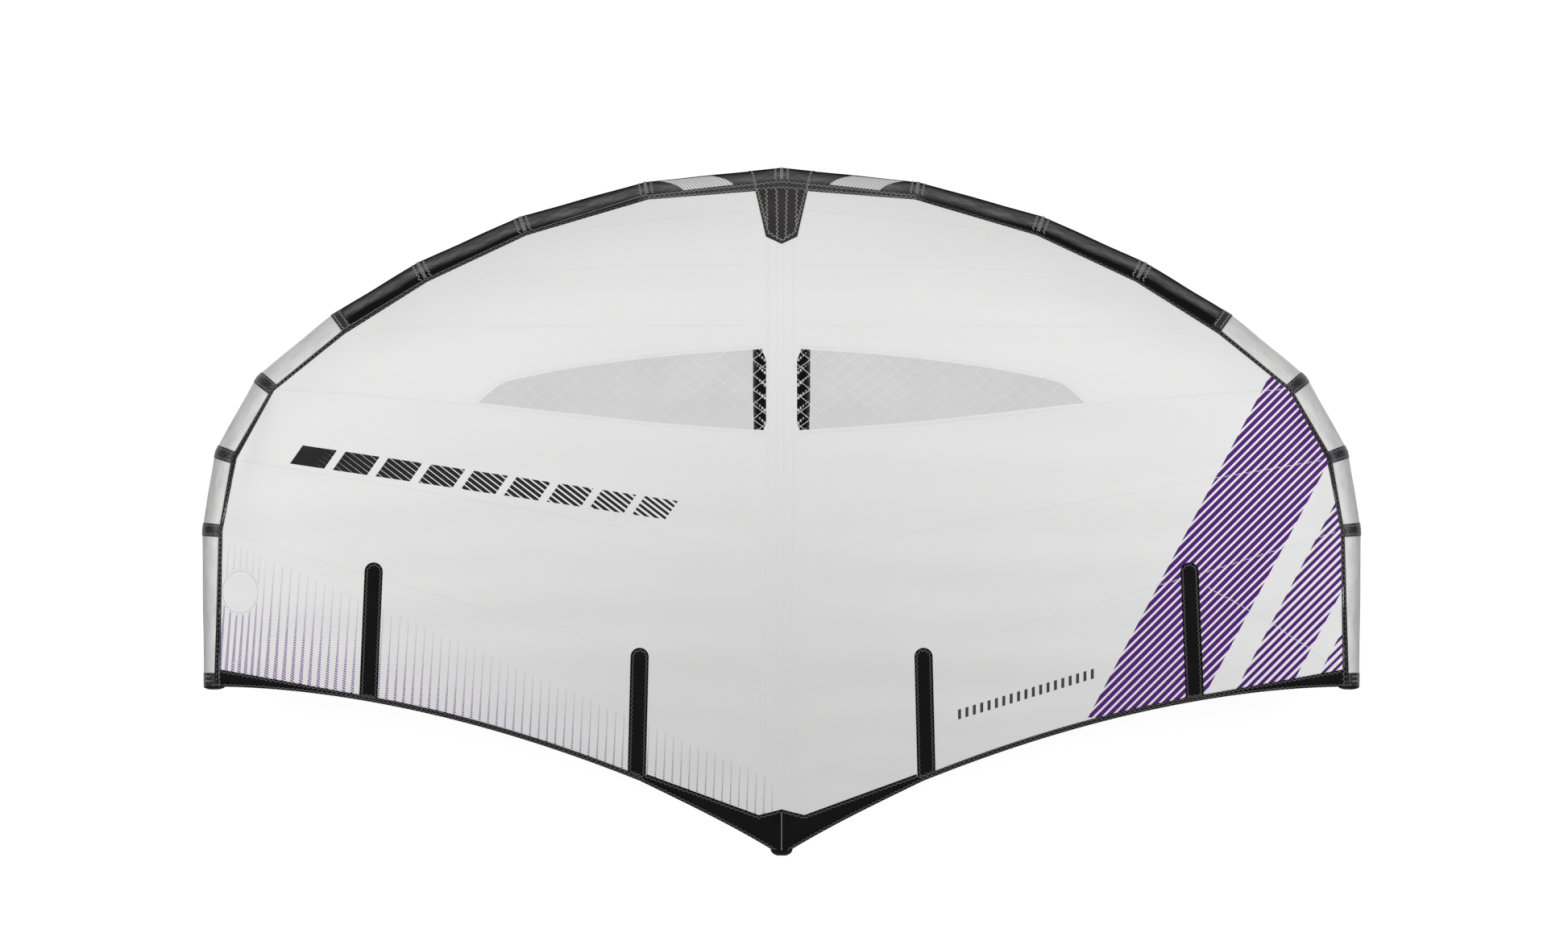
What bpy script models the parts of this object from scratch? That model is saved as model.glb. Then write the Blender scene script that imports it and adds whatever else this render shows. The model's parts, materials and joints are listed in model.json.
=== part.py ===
"""Wingfoil wing: an inflatable hand-held wing, built from its sewn, welded and moulded pieces.

Metres. X runs along the span, +Y points forward to the nose and +Z up to the top of the canopy.
The origin is on the ground below the middle of the wing.
"""
import bpy
import bmesh
from math import cos, hypot, pi, radians, sin, sqrt
from mathutils import Matrix, Vector

# Overall sizes
WING_WIDTH = 3.940
WING_LENGTH = 2.339

# Leading edge tube, station by station from the nose to the tip
STATION_OUT_SHARES = (0.0, 0.2364, 0.4520, 0.6287, 0.7775, 0.9054, 0.9777, 1.0, 0.9972)
STATION_BACK_SHARES = (0.0, 0.0205, 0.0709, 0.1377, 0.2138, 0.3029, 0.4118, 0.5255, 0.7540)
TUBE_RADIUS = 0.125
TUBE_TAPER_SHARES = (1.0, 0.976, 0.912, 0.824, 0.720, 0.608, 0.496, 0.400, 0.288)
TUBE_SIDES = 24
TIP_RISE = 0.500
RISE_POWER = 1.5
CLOTH_WALL = 0.0012
BLADDER_WALL = 0.0008
FIT_GAP = 0.0003
TIP_CAP_DEPTH = 0.011
TIP_CAP_WALL = 0.002
TIP_CAP_DROP_SHARES = (0.0, 0.45, 0.8, 1.0)
TIP_CAP_ROUND_SHARE = 0.9

# Seam tape along the tube, by the angle round the tube from its outermost line
SEAM_DEGREES = (68.6, 59.0, 66.0, 72.5, 83.0, 89.0, 101.5, 101.5, 111.0)
TAPE_EDGE_DEGREES = (48.0, 44.0, 56.0, 62.0, 71.0, 79.0, 89.0, 83.0, 80.0)
TAPE_LIFT = 0.0012
TAPE_THICKNESS = 0.0006
TAPE_STEPS = 2

# Scuff pads on the first tube panel each side
PAD_START = 0.160
PAD_LENGTH = 0.165
PAD_SLANT = 0.060
PAD_LOW_DEGREES = 23.0
PAD_HIGH_DEGREES = 42.0
PAD_STEPS = 3
PAD_THICKNESS = 0.0008

# Canopy
CANOPY_THICKNESS = 0.0012
EDGE_GAP = 0.0010
STRIP_HALF_WIDTH = 0.0525
CANOPY_STATION_COUNT = 6
COLUMN_SHARES = (0.5, 1.0, 1.5, 2.0, 2.5, 3.0, 3.5, 4.0, 4.5, 5.0, 5.5, 6.0)
ROW_SHARES = (0.0, 0.02, 0.045, 0.08, 0.13, 0.19, 0.26, 0.345, 0.45, 0.56, 0.68, 0.80, 0.90, 1.0)
KNEE_ROW_COUNT = 7
SIDE_POWER = 4
CAMBER_SHARES = (0.085, 0.105, 0.110, 0.100, 0.080, 0.050, 0.0)
CAMBER_PEAK_SHARE = 0.28
REAR_CENTRE_HEIGHT = 0.075
REAR_KNEE_OUT_SHARE = 0.243655
REAR_KNEE_DROP_SHARE = 0.274134
REAR_CURVE_POWER = 1.8
STRIP_REAR_INSET = 0.0215

# Windows in the canopy, as shares of their own length and height
WINDOW_LENGTH = 0.978
WINDOW_HEIGHT = 0.277
WINDOW_REAR_SHARE = 0.237195
WINDOW_OUT_SHARES = (0.0, 0.31, 0.535, 0.703, 0.871, 0.927, 0.969, 1.0, 0.703, 0.423, 0.143, 0.0)
WINDOW_UP_SHARES = (1.0, 0.92, 0.83, 0.743, 0.624, 0.554, 0.436, 0.337, 0.218, 0.109, 0.030, 0.0)
WINDOW_CENTRE_SHARE = 0.333333
WINDOW_THICKNESS = 0.0008

# Trailing edge reinforcement
REAR_TAPE_WIDTH = 0.0165
CORNER_INNER_OUT_SHARE = 0.729949
CORNER_DEPTH = 0.0575
PATCH_OUTER_OUT = 0.466
PATCH_SHOULDER_OUT = 0.082
PATCH_SHOULDER_DEPTH = 0.092
PATCH_PEAK_DEPTH = 0.136
NOSE_HALF_WIDTH = 0.0904
NOSE_END_HALF_WIDTH = 0.0534
NOSE_SIDE_LENGTH = 0.162
NOSE_POINT_LENGTH = 0.187

# Batten pockets on the trailing edge, outer and inner pair
POCKET_TOP_OUT_SHARES = (0.703553, 0.244670)
POCKET_END_OUT_SHARES = (0.713706, 0.250254)
POCKET_TOP_SHARES = (-0.147071, -0.395383)
POCKET_WIDTH = 0.062
POCKET_HEIGHT = 0.0044
POCKET_ARC_STEPS = 8
BATTEN_WIDTH = 0.034
BATTEN_THICKNESS = 0.0020
BATTEN_END_MARGIN = 0.022

# Strut
STRUT_RADIUS = 0.0975
STRUT_FRONT_RADIUS = 0.085
STRUT_REAR_RADIUS = 0.037
STRUT_WIDEST_SHARE = 0.384780
STRUT_FRONT_ROW_COUNT = 2
STRUT_SIDES = 20
STRUT_FRONT_POWER = 2
STRUT_REAR_POWER = 1.4
STRUT_CAP_DROP_SHARES = (0.0, 0.5, 0.85, 1.0)
STRUT_CAP_ROUND_SHARE = 0.85

# Soft handles
HANDLE_SPREADS = (0.200, 0.260, 0.260)
HANDLE_DROP = 0.078
STRUT_HANDLE_PLACE_SHARES = (0.350577, -0.205216)
STRAP_WIDTH = 0.025
STRAP_THICKNESS = 0.003
GRIP_RADIUS = 0.0165
GRIP_SPREAD_SHARE = 0.58
GRIP_SIDES = 16

# Inflation valve, under the first panel on the right
VALVE_OUT = 0.270
VALVE_FLANGE_RADIUS = 0.032
VALVE_FLANGE_THICKNESS = 0.0025
VALVE_BARREL_RADIUS = 0.017
VALVE_BARREL_HEIGHT = 0.024
VALVE_NECK_RADIUS = 0.020
VALVE_NECK_DEPTH = 0.012
VALVE_BORE_RADIUS = 0.0125
POPPET_RADIUS = 0.0115
POPPET_THICKNESS = 0.003
POPPET_STEM_RADIUS = 0.003
POPPET_STEM_LENGTH = 0.010
VALVE_SEAT_THICKNESS = 0.002
VALVE_SEAT_BORE_RADIUS = 0.0075
CAP_THICKNESS = 0.0035
CAP_HINGE_OUT = 0.0265
CAP_KNUCKLE_RADIUS = 0.002
CAP_KNUCKLE_WIDTH = 0.008
CAP_KNUCKLE_SIDES = 12
EAR_WIDTH = 0.003
ROUND_SIDES = 24

# Hose between the two bladders, its ports and its clamp
HOSE_RADIUS = 0.007
HOSE_TUBE_OUT = 0.160
HOSE_TUBE_DEGREES = -142.0
HOSE_STRUT_BACK = 0.2489
HOSE_STRUT_DEGREES = 205.0
HOSE_REACH = 0.135
CLAMP_BORE_SHARE = 1.12
HOSE_STEPS = 18
PORT_RADIUS = 0.018
PORT_HEIGHT = 0.008
PORT_NECK_RADIUS = 0.011
PORT_NECK_HEIGHT = 0.014
PORT_BORE_RADIUS = 0.0045
PORT_BORE_SIDES = 12
CLAMP_LENGTH = 0.034
CLAMP_WIDTH = 0.026
CLAMP_HEIGHT = 0.022
LEVER_THICKNESS = 0.003
LEVER_WIDTH = 0.014
LEVER_OVERHANG = 0.010

# Leash tab under the strut and its ring
LEASH_PLACE_SHARE = 0.547242
LEASH_TAB_WIDTH = 0.020
LEASH_TAB_DROP = 0.022
LEASH_TAB_THICKNESS = 0.0025
LEASH_HOLE_RADIUS = 0.0032
LEASH_RING_RADIUS = 0.014
LEASH_WIRE_RADIUS = 0.0022
LEASH_WIRE_SIDES = 8

# One overrun serves every cut
CUT_OVERRUN = 0.020

HALF_WIDTH = WING_WIDTH / 2
FRONT = WING_LENGTH / 2
TIP_STATION = len(STATION_OUT_SHARES) - 1
REAR_KNEE_OUT = HALF_WIDTH * REAR_KNEE_OUT_SHARE
REAR_KNEE_DROP = FRONT * REAR_KNEE_DROP_SHARE
WINDOW_REAR = FRONT * WINDOW_REAR_SHARE
CORNER_INNER_OUT = HALF_WIDTH * CORNER_INNER_OUT_SHARE
POCKET_TOP_OUTS = [HALF_WIDTH * share for share in POCKET_TOP_OUT_SHARES]
POCKET_END_OUTS = [HALF_WIDTH * share for share in POCKET_END_OUT_SHARES]
POCKET_TOPS = [FRONT * share for share in POCKET_TOP_SHARES]
STRUT_WIDEST = FRONT * STRUT_WIDEST_SHARE
STRUT_HANDLE_PLACES = [FRONT * share for share in STRUT_HANDLE_PLACE_SHARES]
LEASH_PLACE = FRONT * LEASH_PLACE_SHARE

COLOURS = {
    "black_cloth": ((0.030, 0.030, 0.032), 0.55, 0.0),
    "white_film": ((0.72, 0.72, 0.72), 0.40, 0.0),
    "canopy_cloth": ((0.78, 0.78, 0.78), 0.60, 0.0),
    "window_film": ((0.62, 0.62, 0.63), 0.20, 0.0),
    "black_webbing": ((0.015, 0.014, 0.014), 0.75, 0.0),
    "bladder_film": ((0.60, 0.64, 0.66), 0.30, 0.0),
    "foam_grip": ((0.020, 0.020, 0.022), 0.80, 0.0),
    "moulded_plastic": ((0.025, 0.025, 0.028), 0.40, 0.0),
    "soft_valve": ((0.10, 0.10, 0.11), 0.50, 0.0),
    "batten_glass": ((0.55, 0.50, 0.36), 0.35, 0.0),
    "steel": ((0.60, 0.60, 0.62), 0.25, 1.0),
}


def clear_scene():
    """Remove what the scene holds and make the two collections."""
    for item in list(bpy.data.objects):
        bpy.data.objects.remove(item, do_unlink=True)
    parts = bpy.data.collections.new("wingfoil_wing")
    cutters = bpy.data.collections.new("wing_cutters")
    bpy.context.scene.collection.children.link(parts)
    bpy.context.scene.collection.children.link(cutters)
    return parts, cutters


PARTS, CUTTERS = clear_scene()


def make_material(name):
    """Principled material of one of the wing's finishes."""
    colour, roughness, metallic = COLOURS[name]
    material = bpy.data.materials.new(name)
    material.use_nodes = True
    shader = material.node_tree.nodes["Principled BSDF"]
    shader.inputs["Base Color"].default_value = (*colour, 1.0)
    shader.inputs["Roughness"].default_value = roughness
    shader.inputs["Metallic"].default_value = metallic
    return material


MATERIALS = {name: make_material(name) for name in COLOURS}


def object_from_bmesh(name, shape, finish=None, frame=None):
    """Object from a bmesh; without a finish it is a cutter."""
    bmesh.ops.recalc_face_normals(shape, faces=shape.faces[:])
    mesh = bpy.data.meshes.new(name)
    shape.to_mesh(mesh)
    shape.free()
    item = bpy.data.objects.new(name, mesh)
    if finish is None:
        CUTTERS.objects.link(item)
        item.hide_render = True
        item.display_type = "WIRE"
    else:
        mesh.materials.append(MATERIALS[finish])
        PARTS.objects.link(item)
    if frame is not None:
        item.matrix_world = frame
    return item


def smooth(item, degrees=40.0):
    """Shade a round piece smooth and keep its sharp edges."""
    item.data.shade_smooth()
    item.data.set_sharp_from_angle(angle=radians(degrees))


def boolean(item, cutter, operation="DIFFERENCE"):
    """Cut or trim a piece with another object."""
    step = item.modifiers.new(operation.lower(), "BOOLEAN")
    step.operation = operation
    step.solver = "EXACT"
    step.object = cutter


def loft(name, rings, finish=None, looped=False, flips=(), fold=None):
    """Skin through rings of points. The ends are capped, or joined where the loft is looped.

    Every quad is split along one diagonal, and along the other one in the bands named in flips
    and past the point where a flat ring folds back, so that skins which run side by side keep
    the same facets.
    """
    shape = bmesh.new()
    rows = [[shape.verts.new(point) for point in ring] for ring in rings]
    count = len(rows[0])
    pairs = list(zip(rows, rows[1:]))
    if looped:
        pairs.append((rows[-1], rows[0]))
    else:
        shape.faces.new(rows[0])
        shape.faces.new(rows[-1])
    for band, (low, high) in enumerate(pairs):
        for k in range(count):
            after = (k + 1) % count
            back = fold is not None and k >= fold
            if (band in flips) != back:
                shape.faces.new((low[k], low[after], high[k]))
                shape.faces.new((low[after], high[after], high[k]))
            else:
                shape.faces.new((low[k], low[after], high[after]))
                shape.faces.new((low[k], high[after], high[k]))
    return object_from_bmesh(name, shape, finish)


def prism(name, outline, low, high, finish=None, frame=None):
    """Flat outline in local X and Y, raised from one height to another."""
    shape = bmesh.new()
    base = shape.faces.new([shape.verts.new((x, y, low)) for x, y in outline])
    raised = bmesh.ops.extrude_face_region(shape, geom=[base])
    moved = [part for part in raised["geom"] if isinstance(part, bmesh.types.BMVert)]
    bmesh.ops.translate(shape, verts=moved, vec=(0, 0, high - low))
    return object_from_bmesh(name, shape, finish, frame)


def box(name, low, high, finish=None, frame=None):
    """Box between two local corners."""
    shape = bmesh.new()
    bmesh.ops.create_cube(shape, size=1.0)
    size = Vector(high) - Vector(low)
    bmesh.ops.scale(shape, vec=size, verts=shape.verts[:])
    bmesh.ops.translate(shape, vec=(Vector(low) + Vector(high)) / 2, verts=shape.verts[:])
    return object_from_bmesh(name, shape, finish, frame)


def rod(name, radius, low, high, sides, finish=None, frame=None):
    """Round bar along local Z, with a flat facet on each axis."""
    shape = bmesh.new()
    turn = Matrix.Rotation(pi / sides, 4, "Z")
    place = Matrix.Translation((0, 0, (low + high) / 2)) @ turn
    bmesh.ops.create_cone(
        shape, cap_ends=True, segments=sides, radius1=radius, radius2=radius, depth=high - low, matrix=place
    )
    return object_from_bmesh(name, shape, finish, frame)


def turned(name, profile, finish=None, frame=None, sides=ROUND_SIDES):
    """Turned piece: a profile of radius and height, run round local Z with a Screw modifier."""
    mesh = bpy.data.meshes.new(name)
    points = [(radius, 0, height) for radius, height in profile]
    closed = profile[0][0] > 0 or profile[-1][0] > 0
    edges = [(k, k + 1) for k in range(len(points) - 1)]
    if closed:
        edges.append((len(points) - 1, 0))
    mesh.from_pydata(points, edges, [])
    item = bpy.data.objects.new(name, mesh)
    if finish is None:
        CUTTERS.objects.link(item)
        item.hide_render = True
        item.display_type = "WIRE"
    else:
        mesh.materials.append(MATERIALS[finish])
        PARTS.objects.link(item)
    screw = item.modifiers.new("turn", "SCREW")
    screw.axis = "Z"
    screw.steps = sides
    screw.render_steps = sides
    screw.use_merge_vertices = True
    screw.merge_threshold = 0.00001
    if frame is not None:
        item.matrix_world = frame
    return item


def frame_along(origin, z_axis, x_hint):
    """Local frame whose Z follows one direction and whose X is as near as can be to another."""
    z_axis = Vector(z_axis).normalized()
    y_axis = z_axis.cross(Vector(x_hint)).normalized()
    x_axis = y_axis.cross(z_axis)
    turn = Matrix((x_axis, y_axis, z_axis)).transposed().to_4x4()
    return Matrix.Translation(origin) @ turn


def mix(a, b, share):
    """Point or value part of the way from a to b."""
    return a + (b - a) * share


class Tube:
    """Leading edge tube on the right: centres, radii and mitre planes of its stations."""

    def __init__(self):
        self.outer = [
            Vector((HALF_WIDTH * out, FRONT - WING_LENGTH * back, 0))
            for out, back in zip(STATION_OUT_SHARES, STATION_BACK_SHARES)
        ]
        self.radii = [TUBE_RADIUS * share for share in TUBE_TAPER_SHARES]
        runs = [(b - a).normalized() for a, b in zip(self.outer, self.outer[1:])]
        normals = [Vector((-run.y, run.x, 0)) for run in runs]
        self.outward = [Vector((0, 1, 0))]
        self.outward += [(a + b).normalized() for a, b in zip(normals, normals[1:])]
        self.outward.append(normals[-1])
        last = len(normals) - 1
        self.mitres = [1 / self.outward[i].dot(normals[min(i, last)]) for i in range(len(self.outer))]
        self.centres = []
        for point, radius, mitre, outward in zip(self.outer, self.radii, self.mitres, self.outward):
            centre = point - outward * radius * mitre
            centre.z = TIP_RISE * (centre.x / HALF_WIDTH) ** RISE_POWER
            self.centres.append(centre)
        self.stretch = []
        for i in range(len(self.outer)):
            near = self.centres[max(i - 1, 0)]
            far = self.centres[min(i + 1, TIP_STATION)]
            run = far - near
            self.stretch.append(run.length / hypot(run.x, run.y))

    def point(self, station, angle, extra=0.0):
        """Point on the tube at a station, at an angle up from the outermost line."""
        radius = self.radii[station] + extra
        out = self.outward[station] * cos(angle) * self.mitres[station] * radius
        up = Vector((0, 0, sin(angle) * self.stretch[station] * radius))
        return self.centres[station] + out + up

    def along(self, place, angle, extra=0.0):
        """Point on the tube at a place in station units."""
        station = min(int(place), TIP_STATION - 1)
        low = self.point(station, angle, extra)
        high = self.point(station + 1, angle, extra)
        return mix(low, high, place - station)

    def run(self, station):
        """Direction of the panel that starts at a station."""
        return (self.centres[station + 1] - self.centres[station]).normalized()


TUBE = Tube()
SIDES = (("right", 1), ("left", -1))


def on_side(points, side):
    """Points of the right half, or their mirror image on the left."""
    return [Vector((point[0] * side, point[1], point[2])) for point in points]


def tube_ring(station, extra):
    """Ring of points round the tube at a station."""
    return [TUBE.point(station, 2 * pi * k / TUBE_SIDES, extra) for k in range(TUBE_SIDES)]


def panel_name(side_name, station):
    """Name of the tube panel that starts at a station."""
    return f"leading_edge_panel_{side_name}_{station + 1}"


def make_panels():
    """Sewn panels of the leading edge, eight a side, each between two mitre planes."""
    panels = {}
    for side_name, side in SIDES:
        for station in range(TIP_STATION):
            pull = TUBE.run(station) * FIT_GAP
            rings = []
            for extra, order in ((0.0, (0, 1)), (-CLOTH_WALL, (1, 0))):
                for end in order:
                    shift = pull if end == 0 else -pull
                    ring = [point + shift for point in tube_ring(station + end, extra)]
                    rings.append(on_side(ring, side))
            finish = "black_cloth" if station < TIP_STATION // 2 else "white_film"
            name = panel_name(side_name, station)
            panels[name] = loft(name, rings, finish, looped=True, flips=(2,))
            smooth(panels[name])
    return panels


def tube_solid(name, extra, first=-TIP_STATION, last=TIP_STATION, tip_pull=0.0):
    """Solid that fills the tube between two stations; negative stations are on the left."""
    rings = []
    for station in range(first, last + 1):
        side = -1 if station < 0 else 1
        ring = tube_ring(abs(station), extra)
        if abs(station) == TIP_STATION:
            ring = [point - TUBE.run(TIP_STATION - 1) * tip_pull for point in ring]
        if side < 0:
            rings.append(on_side(ring, side))
        else:
            rings.append(ring)
    return loft(name, rings, flips=range(-first))


def make_tube_bladder():
    """Air bladder inside the leading edge, with its hole at the valve and at the hose port."""
    skin = -CLOTH_WALL - FIT_GAP
    bladder = tube_solid("leading_edge_bladder", skin, tip_pull=TIP_CAP_WALL)
    CUTTERS.objects.unlink(bladder)
    PARTS.objects.link(bladder)
    bladder.hide_render = False
    bladder.display_type = "TEXTURED"
    bladder.data.materials.append(MATERIALS["bladder_film"])
    air = tube_solid("tube_air", skin - BLADDER_WALL, tip_pull=TIP_CAP_WALL + BLADDER_WALL)
    boolean(bladder, air)
    return bladder


def make_tip_caps():
    """Domed caps that close the tube at the tips."""
    run = TUBE.run(TIP_STATION - 1)
    centre = TUBE.centres[TIP_STATION]
    for side_name, side in SIDES:
        rings = []
        for share in TIP_CAP_DROP_SHARES:
            drop = TIP_CAP_DEPTH * share
            width = sqrt(1 - share * share * TIP_CAP_ROUND_SHARE)
            ring = [
                point + run * (FIT_GAP + drop) - (point - centre) * (1 - width)
                for point in tube_ring(TIP_STATION, 0.0)
            ]
            rings.append(on_side(ring, side))
        cap = loft(f"tip_cap_{side_name}", rings, "black_webbing")
        smooth(cap, 60.0)


def make_seam_tapes():
    """Tape over the seam between tube and canopy, each side."""
    step_cos = cos(radians(max(a - b for a, b in zip(SEAM_DEGREES, TAPE_EDGE_DEGREES))) / TAPE_STEPS / 2)
    for side_name, side in SIDES:
        rings = []
        for station in range(TIP_STATION + 1):
            low, high = radians(TAPE_EDGE_DEGREES[station]), radians(SEAM_DEGREES[station])
            angles = [mix(low, high, k / TAPE_STEPS) for k in range(TAPE_STEPS + 1)]
            radius = TUBE.radii[station]
            under = (radius + TAPE_LIFT) / step_cos - radius
            ring = [TUBE.point(station, angle, under) for angle in angles]
            ring += [TUBE.point(station, angle, under + TAPE_THICKNESS) for angle in reversed(angles)]
            if station == 0:
                ring = [point + Vector((FIT_GAP, 0, 0)) for point in ring]
            rings.append(on_side(ring, side))
        loft(f"seam_tape_{side_name}", rings, "black_webbing", fold=TAPE_STEPS + 1)


def make_scuff_pads():
    """Slanted pads sewn on the front of the first panel, each side of the nose."""
    first_length = TUBE.centres[1].x
    step = radians(PAD_HIGH_DEGREES - PAD_LOW_DEGREES) / PAD_STEPS
    for side_name, side in SIDES:
        rings = []
        for k in range(PAD_STEPS + 1):
            angle = radians(PAD_LOW_DEGREES) + step * k
            slant = PAD_SLANT * (1 - k / PAD_STEPS)
            start = (PAD_START + slant) / first_length
            end = (PAD_START + slant + PAD_LENGTH) / first_length
            lift = (TUBE.radii[0] + FIT_GAP) / cos(step / 2) - TUBE.radii[0]
            ring = [
                TUBE.along(start, angle, lift),
                TUBE.along(end, angle, lift),
                TUBE.along(end, angle, lift + PAD_THICKNESS),
                TUBE.along(start, angle, lift + PAD_THICKNESS),
            ]
            rings.append(on_side(ring, side))
        loft(f"scuff_pad_{side_name}", rings, "canopy_cloth", fold=len(rings[0]) // 2)


def seam_point(station):
    """Underside of the canopy's edge at a station of the tube."""
    angle = radians(SEAM_DEGREES[station])
    point = TUBE.point(station, angle, TAPE_LIFT)
    return point - TUBE.outward[station] * TUBE.mitres[station] * EDGE_GAP


def seam_along(place):
    """Underside of the canopy's edge at a place in station units."""
    station = min(int(place), TIP_STATION - 1)
    return mix(seam_point(station), seam_point(station + 1), place - station)


REAR_TIP = seam_point(TIP_STATION)
REAR_END = -FRONT + STRIP_REAR_INSET
REAR_KNEE = REAR_TIP.y - REAR_KNEE_DROP


def rear_y(out):
    """Trailing edge: a bent curve from the tip to the knee, then a straight run to the strut."""
    out = min(out, REAR_TIP.x)
    if out >= REAR_KNEE_OUT:
        share = (REAR_TIP.x - out) / (REAR_TIP.x - REAR_KNEE_OUT)
        return REAR_TIP.y - REAR_KNEE_DROP * share ** REAR_CURVE_POWER
    return mix(REAR_END, REAR_KNEE, out / REAR_KNEE_OUT)


def rear_point(front):
    """Trailing edge point of the grid line that starts at a point of the front edge."""
    side = seam_point(CANOPY_STATION_COUNT)
    spread = REAR_TIP.x / side.x - 1
    out = front.x * (1 + spread * (front.x / side.x) ** 2)
    height = mix(REAR_CENTRE_HEIGHT, REAR_TIP.z, (out / REAR_TIP.x) ** RISE_POWER)
    return Vector((out, rear_y(out), height))


def camber(row):
    """Height of the canopy's arch along its chord, as a share of its peak."""
    peak = CAMBER_PEAK_SHARE
    if row < peak:
        return (2 * peak * row - row * row) / peak ** 2
    return (1 - 2 * peak + 2 * peak * row - row * row) / (1 - peak) ** 2


def side_shift(row):
    """How far the tube's bend pushes the canopy's side from a straight line."""
    knee = ROW_SHARES[KNEE_ROW_COUNT]
    start, bend, end = seam_point(CANOPY_STATION_COUNT), seam_point(CANOPY_STATION_COUNT + 1), REAR_TIP
    if row < knee:
        real = mix(start, bend, row / knee)
    else:
        real = mix(bend, end, (row - knee) / (1 - knee))
    return real - mix(start, end, row)


def canopy_point(column, row):
    """Underside of the canopy on the right: column in station units, row from front to rear."""
    front = seam_along(column)
    rear = rear_point(front)
    station = min(int(column), CANOPY_STATION_COUNT - 1)
    depth = mix(CAMBER_SHARES[station], CAMBER_SHARES[station + 1], column - station)
    point = mix(front, rear, row)
    point.z += depth * camber(row) * (front.y - rear.y)
    return point + side_shift(row) * (column / CANOPY_STATION_COUNT) ** SIDE_POWER


def column_at(out):
    """Column whose front point lies a given way out, inside the first panel."""
    return out / seam_point(1).x


def sheet(name, columns, rows, lift, thickness, side, finish=None):
    """Slab that follows the canopy, a given height above its underside. Side 0 is both halves."""
    shape = bmesh.new()
    grids = []
    for top in (0.0, thickness):
        rise = Vector((0, 0, lift + top))
        half = [[canopy_point(column, row) + rise for row in rows] for column in columns]
        if side == 0:
            left = [on_side(line, -1) for line in reversed(half[1:])]
            lines = left + half
        else:
            lines = [on_side(line, side) for line in half]
        grids.append([[shape.verts.new(point) for point in line] for line in lines])
    low, high = grids
    wide, deep = len(low) - 1, len(rows) - 1
    for i in range(wide):
        flipped = side == 0 and i < wide // 2
        for j in range(deep):
            for grid in grids:
                a, b, c, d = grid[i][j], grid[i + 1][j], grid[i + 1][j + 1], grid[i][j + 1]
                if flipped:
                    shape.faces.new((a, b, d))
                    shape.faces.new((b, c, d))
                else:
                    shape.faces.new((a, b, c))
                    shape.faces.new((a, c, d))
    for i in range(wide):
        for j in (0, deep):
            shape.faces.new((low[i][j], low[i + 1][j], high[i + 1][j], high[i][j]))
    for j in range(deep):
        for i in (0, wide):
            shape.faces.new((low[i][j], low[i][j + 1], high[i][j + 1], high[i][j]))
    return object_from_bmesh(name, shape, finish)


def half_columns(first):
    """Columns of one half of the canopy from a first column outward."""
    return [first] + [column for column in COLUMN_SHARES if column > first + FIT_GAP]


def tall_prism(name, outline, side):
    """Upright cutter over an outline of the right half, or its mirror image."""
    points = [(x * side, y) for x, y in outline]
    return prism(name, points, -HALF_WIDTH, HALF_WIDTH)


def window_outline(margin):
    """Outline of the window in the right half, grown by a margin."""
    base_out = STRIP_HALF_WIDTH + FIT_GAP
    centre_out = base_out + WINDOW_LENGTH * WINDOW_CENTRE_SHARE
    centre_y = WINDOW_REAR + WINDOW_HEIGHT / 2
    outline = []
    for out_share, up_share in zip(WINDOW_OUT_SHARES, WINDOW_UP_SHARES):
        out = base_out + WINDOW_LENGTH * out_share
        up = WINDOW_REAR + WINDOW_HEIGHT * up_share
        away = Vector((out - centre_out, (up - centre_y) * WINDOW_LENGTH / WINDOW_HEIGHT)).normalized()
        outline.append((out + away.x * margin, up + away.y * margin))
    return outline


def make_canopy():
    """Canopy halves, the strip over the strut and the windows."""
    edge = column_at(STRIP_HALF_WIDTH)
    start = column_at(STRIP_HALF_WIDTH + FIT_GAP)
    columns = half_columns(start)
    for side_name, side in SIDES:
        half = sheet(f"canopy_{side_name}", columns, ROW_SHARES, 0.0, CANOPY_THICKNESS, side, "canopy_cloth")
        outline = window_outline(FIT_GAP * 2)
        inner_out = STRIP_HALF_WIDTH - CUT_OVERRUN
        opening = [(inner_out, outline[0][1])] + outline + [(inner_out, outline[-1][1])]
        boolean(half, tall_prism(f"window_opening_{side_name}", opening, side))
        window_columns = [column for column in columns if column <= CANOPY_STATION_COUNT // 2]
        pane = sheet(
            f"window_{side_name}", window_columns, ROW_SHARES, 0.0, WINDOW_THICKNESS, side, "window_film"
        )
        pane_outline = [(STRIP_HALF_WIDTH - CUT_OVERRUN, outline[0][1] - FIT_GAP)]
        pane_outline += window_outline(-FIT_GAP)
        pane_outline += [(STRIP_HALF_WIDTH - CUT_OVERRUN, outline[-1][1] + FIT_GAP)]
        boolean(pane, tall_prism(f"window_outline_{side_name}", pane_outline, side), "INTERSECT")
    sheet("centre_strip", (0.0, edge), ROW_SHARES, 0.0, CANOPY_THICKNESS, 0, "canopy_cloth")


def rear_line(first, last, depth):
    """Points a given depth inside the trailing edge, on the grid's own columns."""
    outs = [first]
    for column in COLUMN_SHARES:
        out = rear_point(seam_along(column)).x
        if first < out < last:
            outs.append(out)
    outs.append(last)
    return [(out, rear_y(out) + depth) for out in outs]


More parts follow.
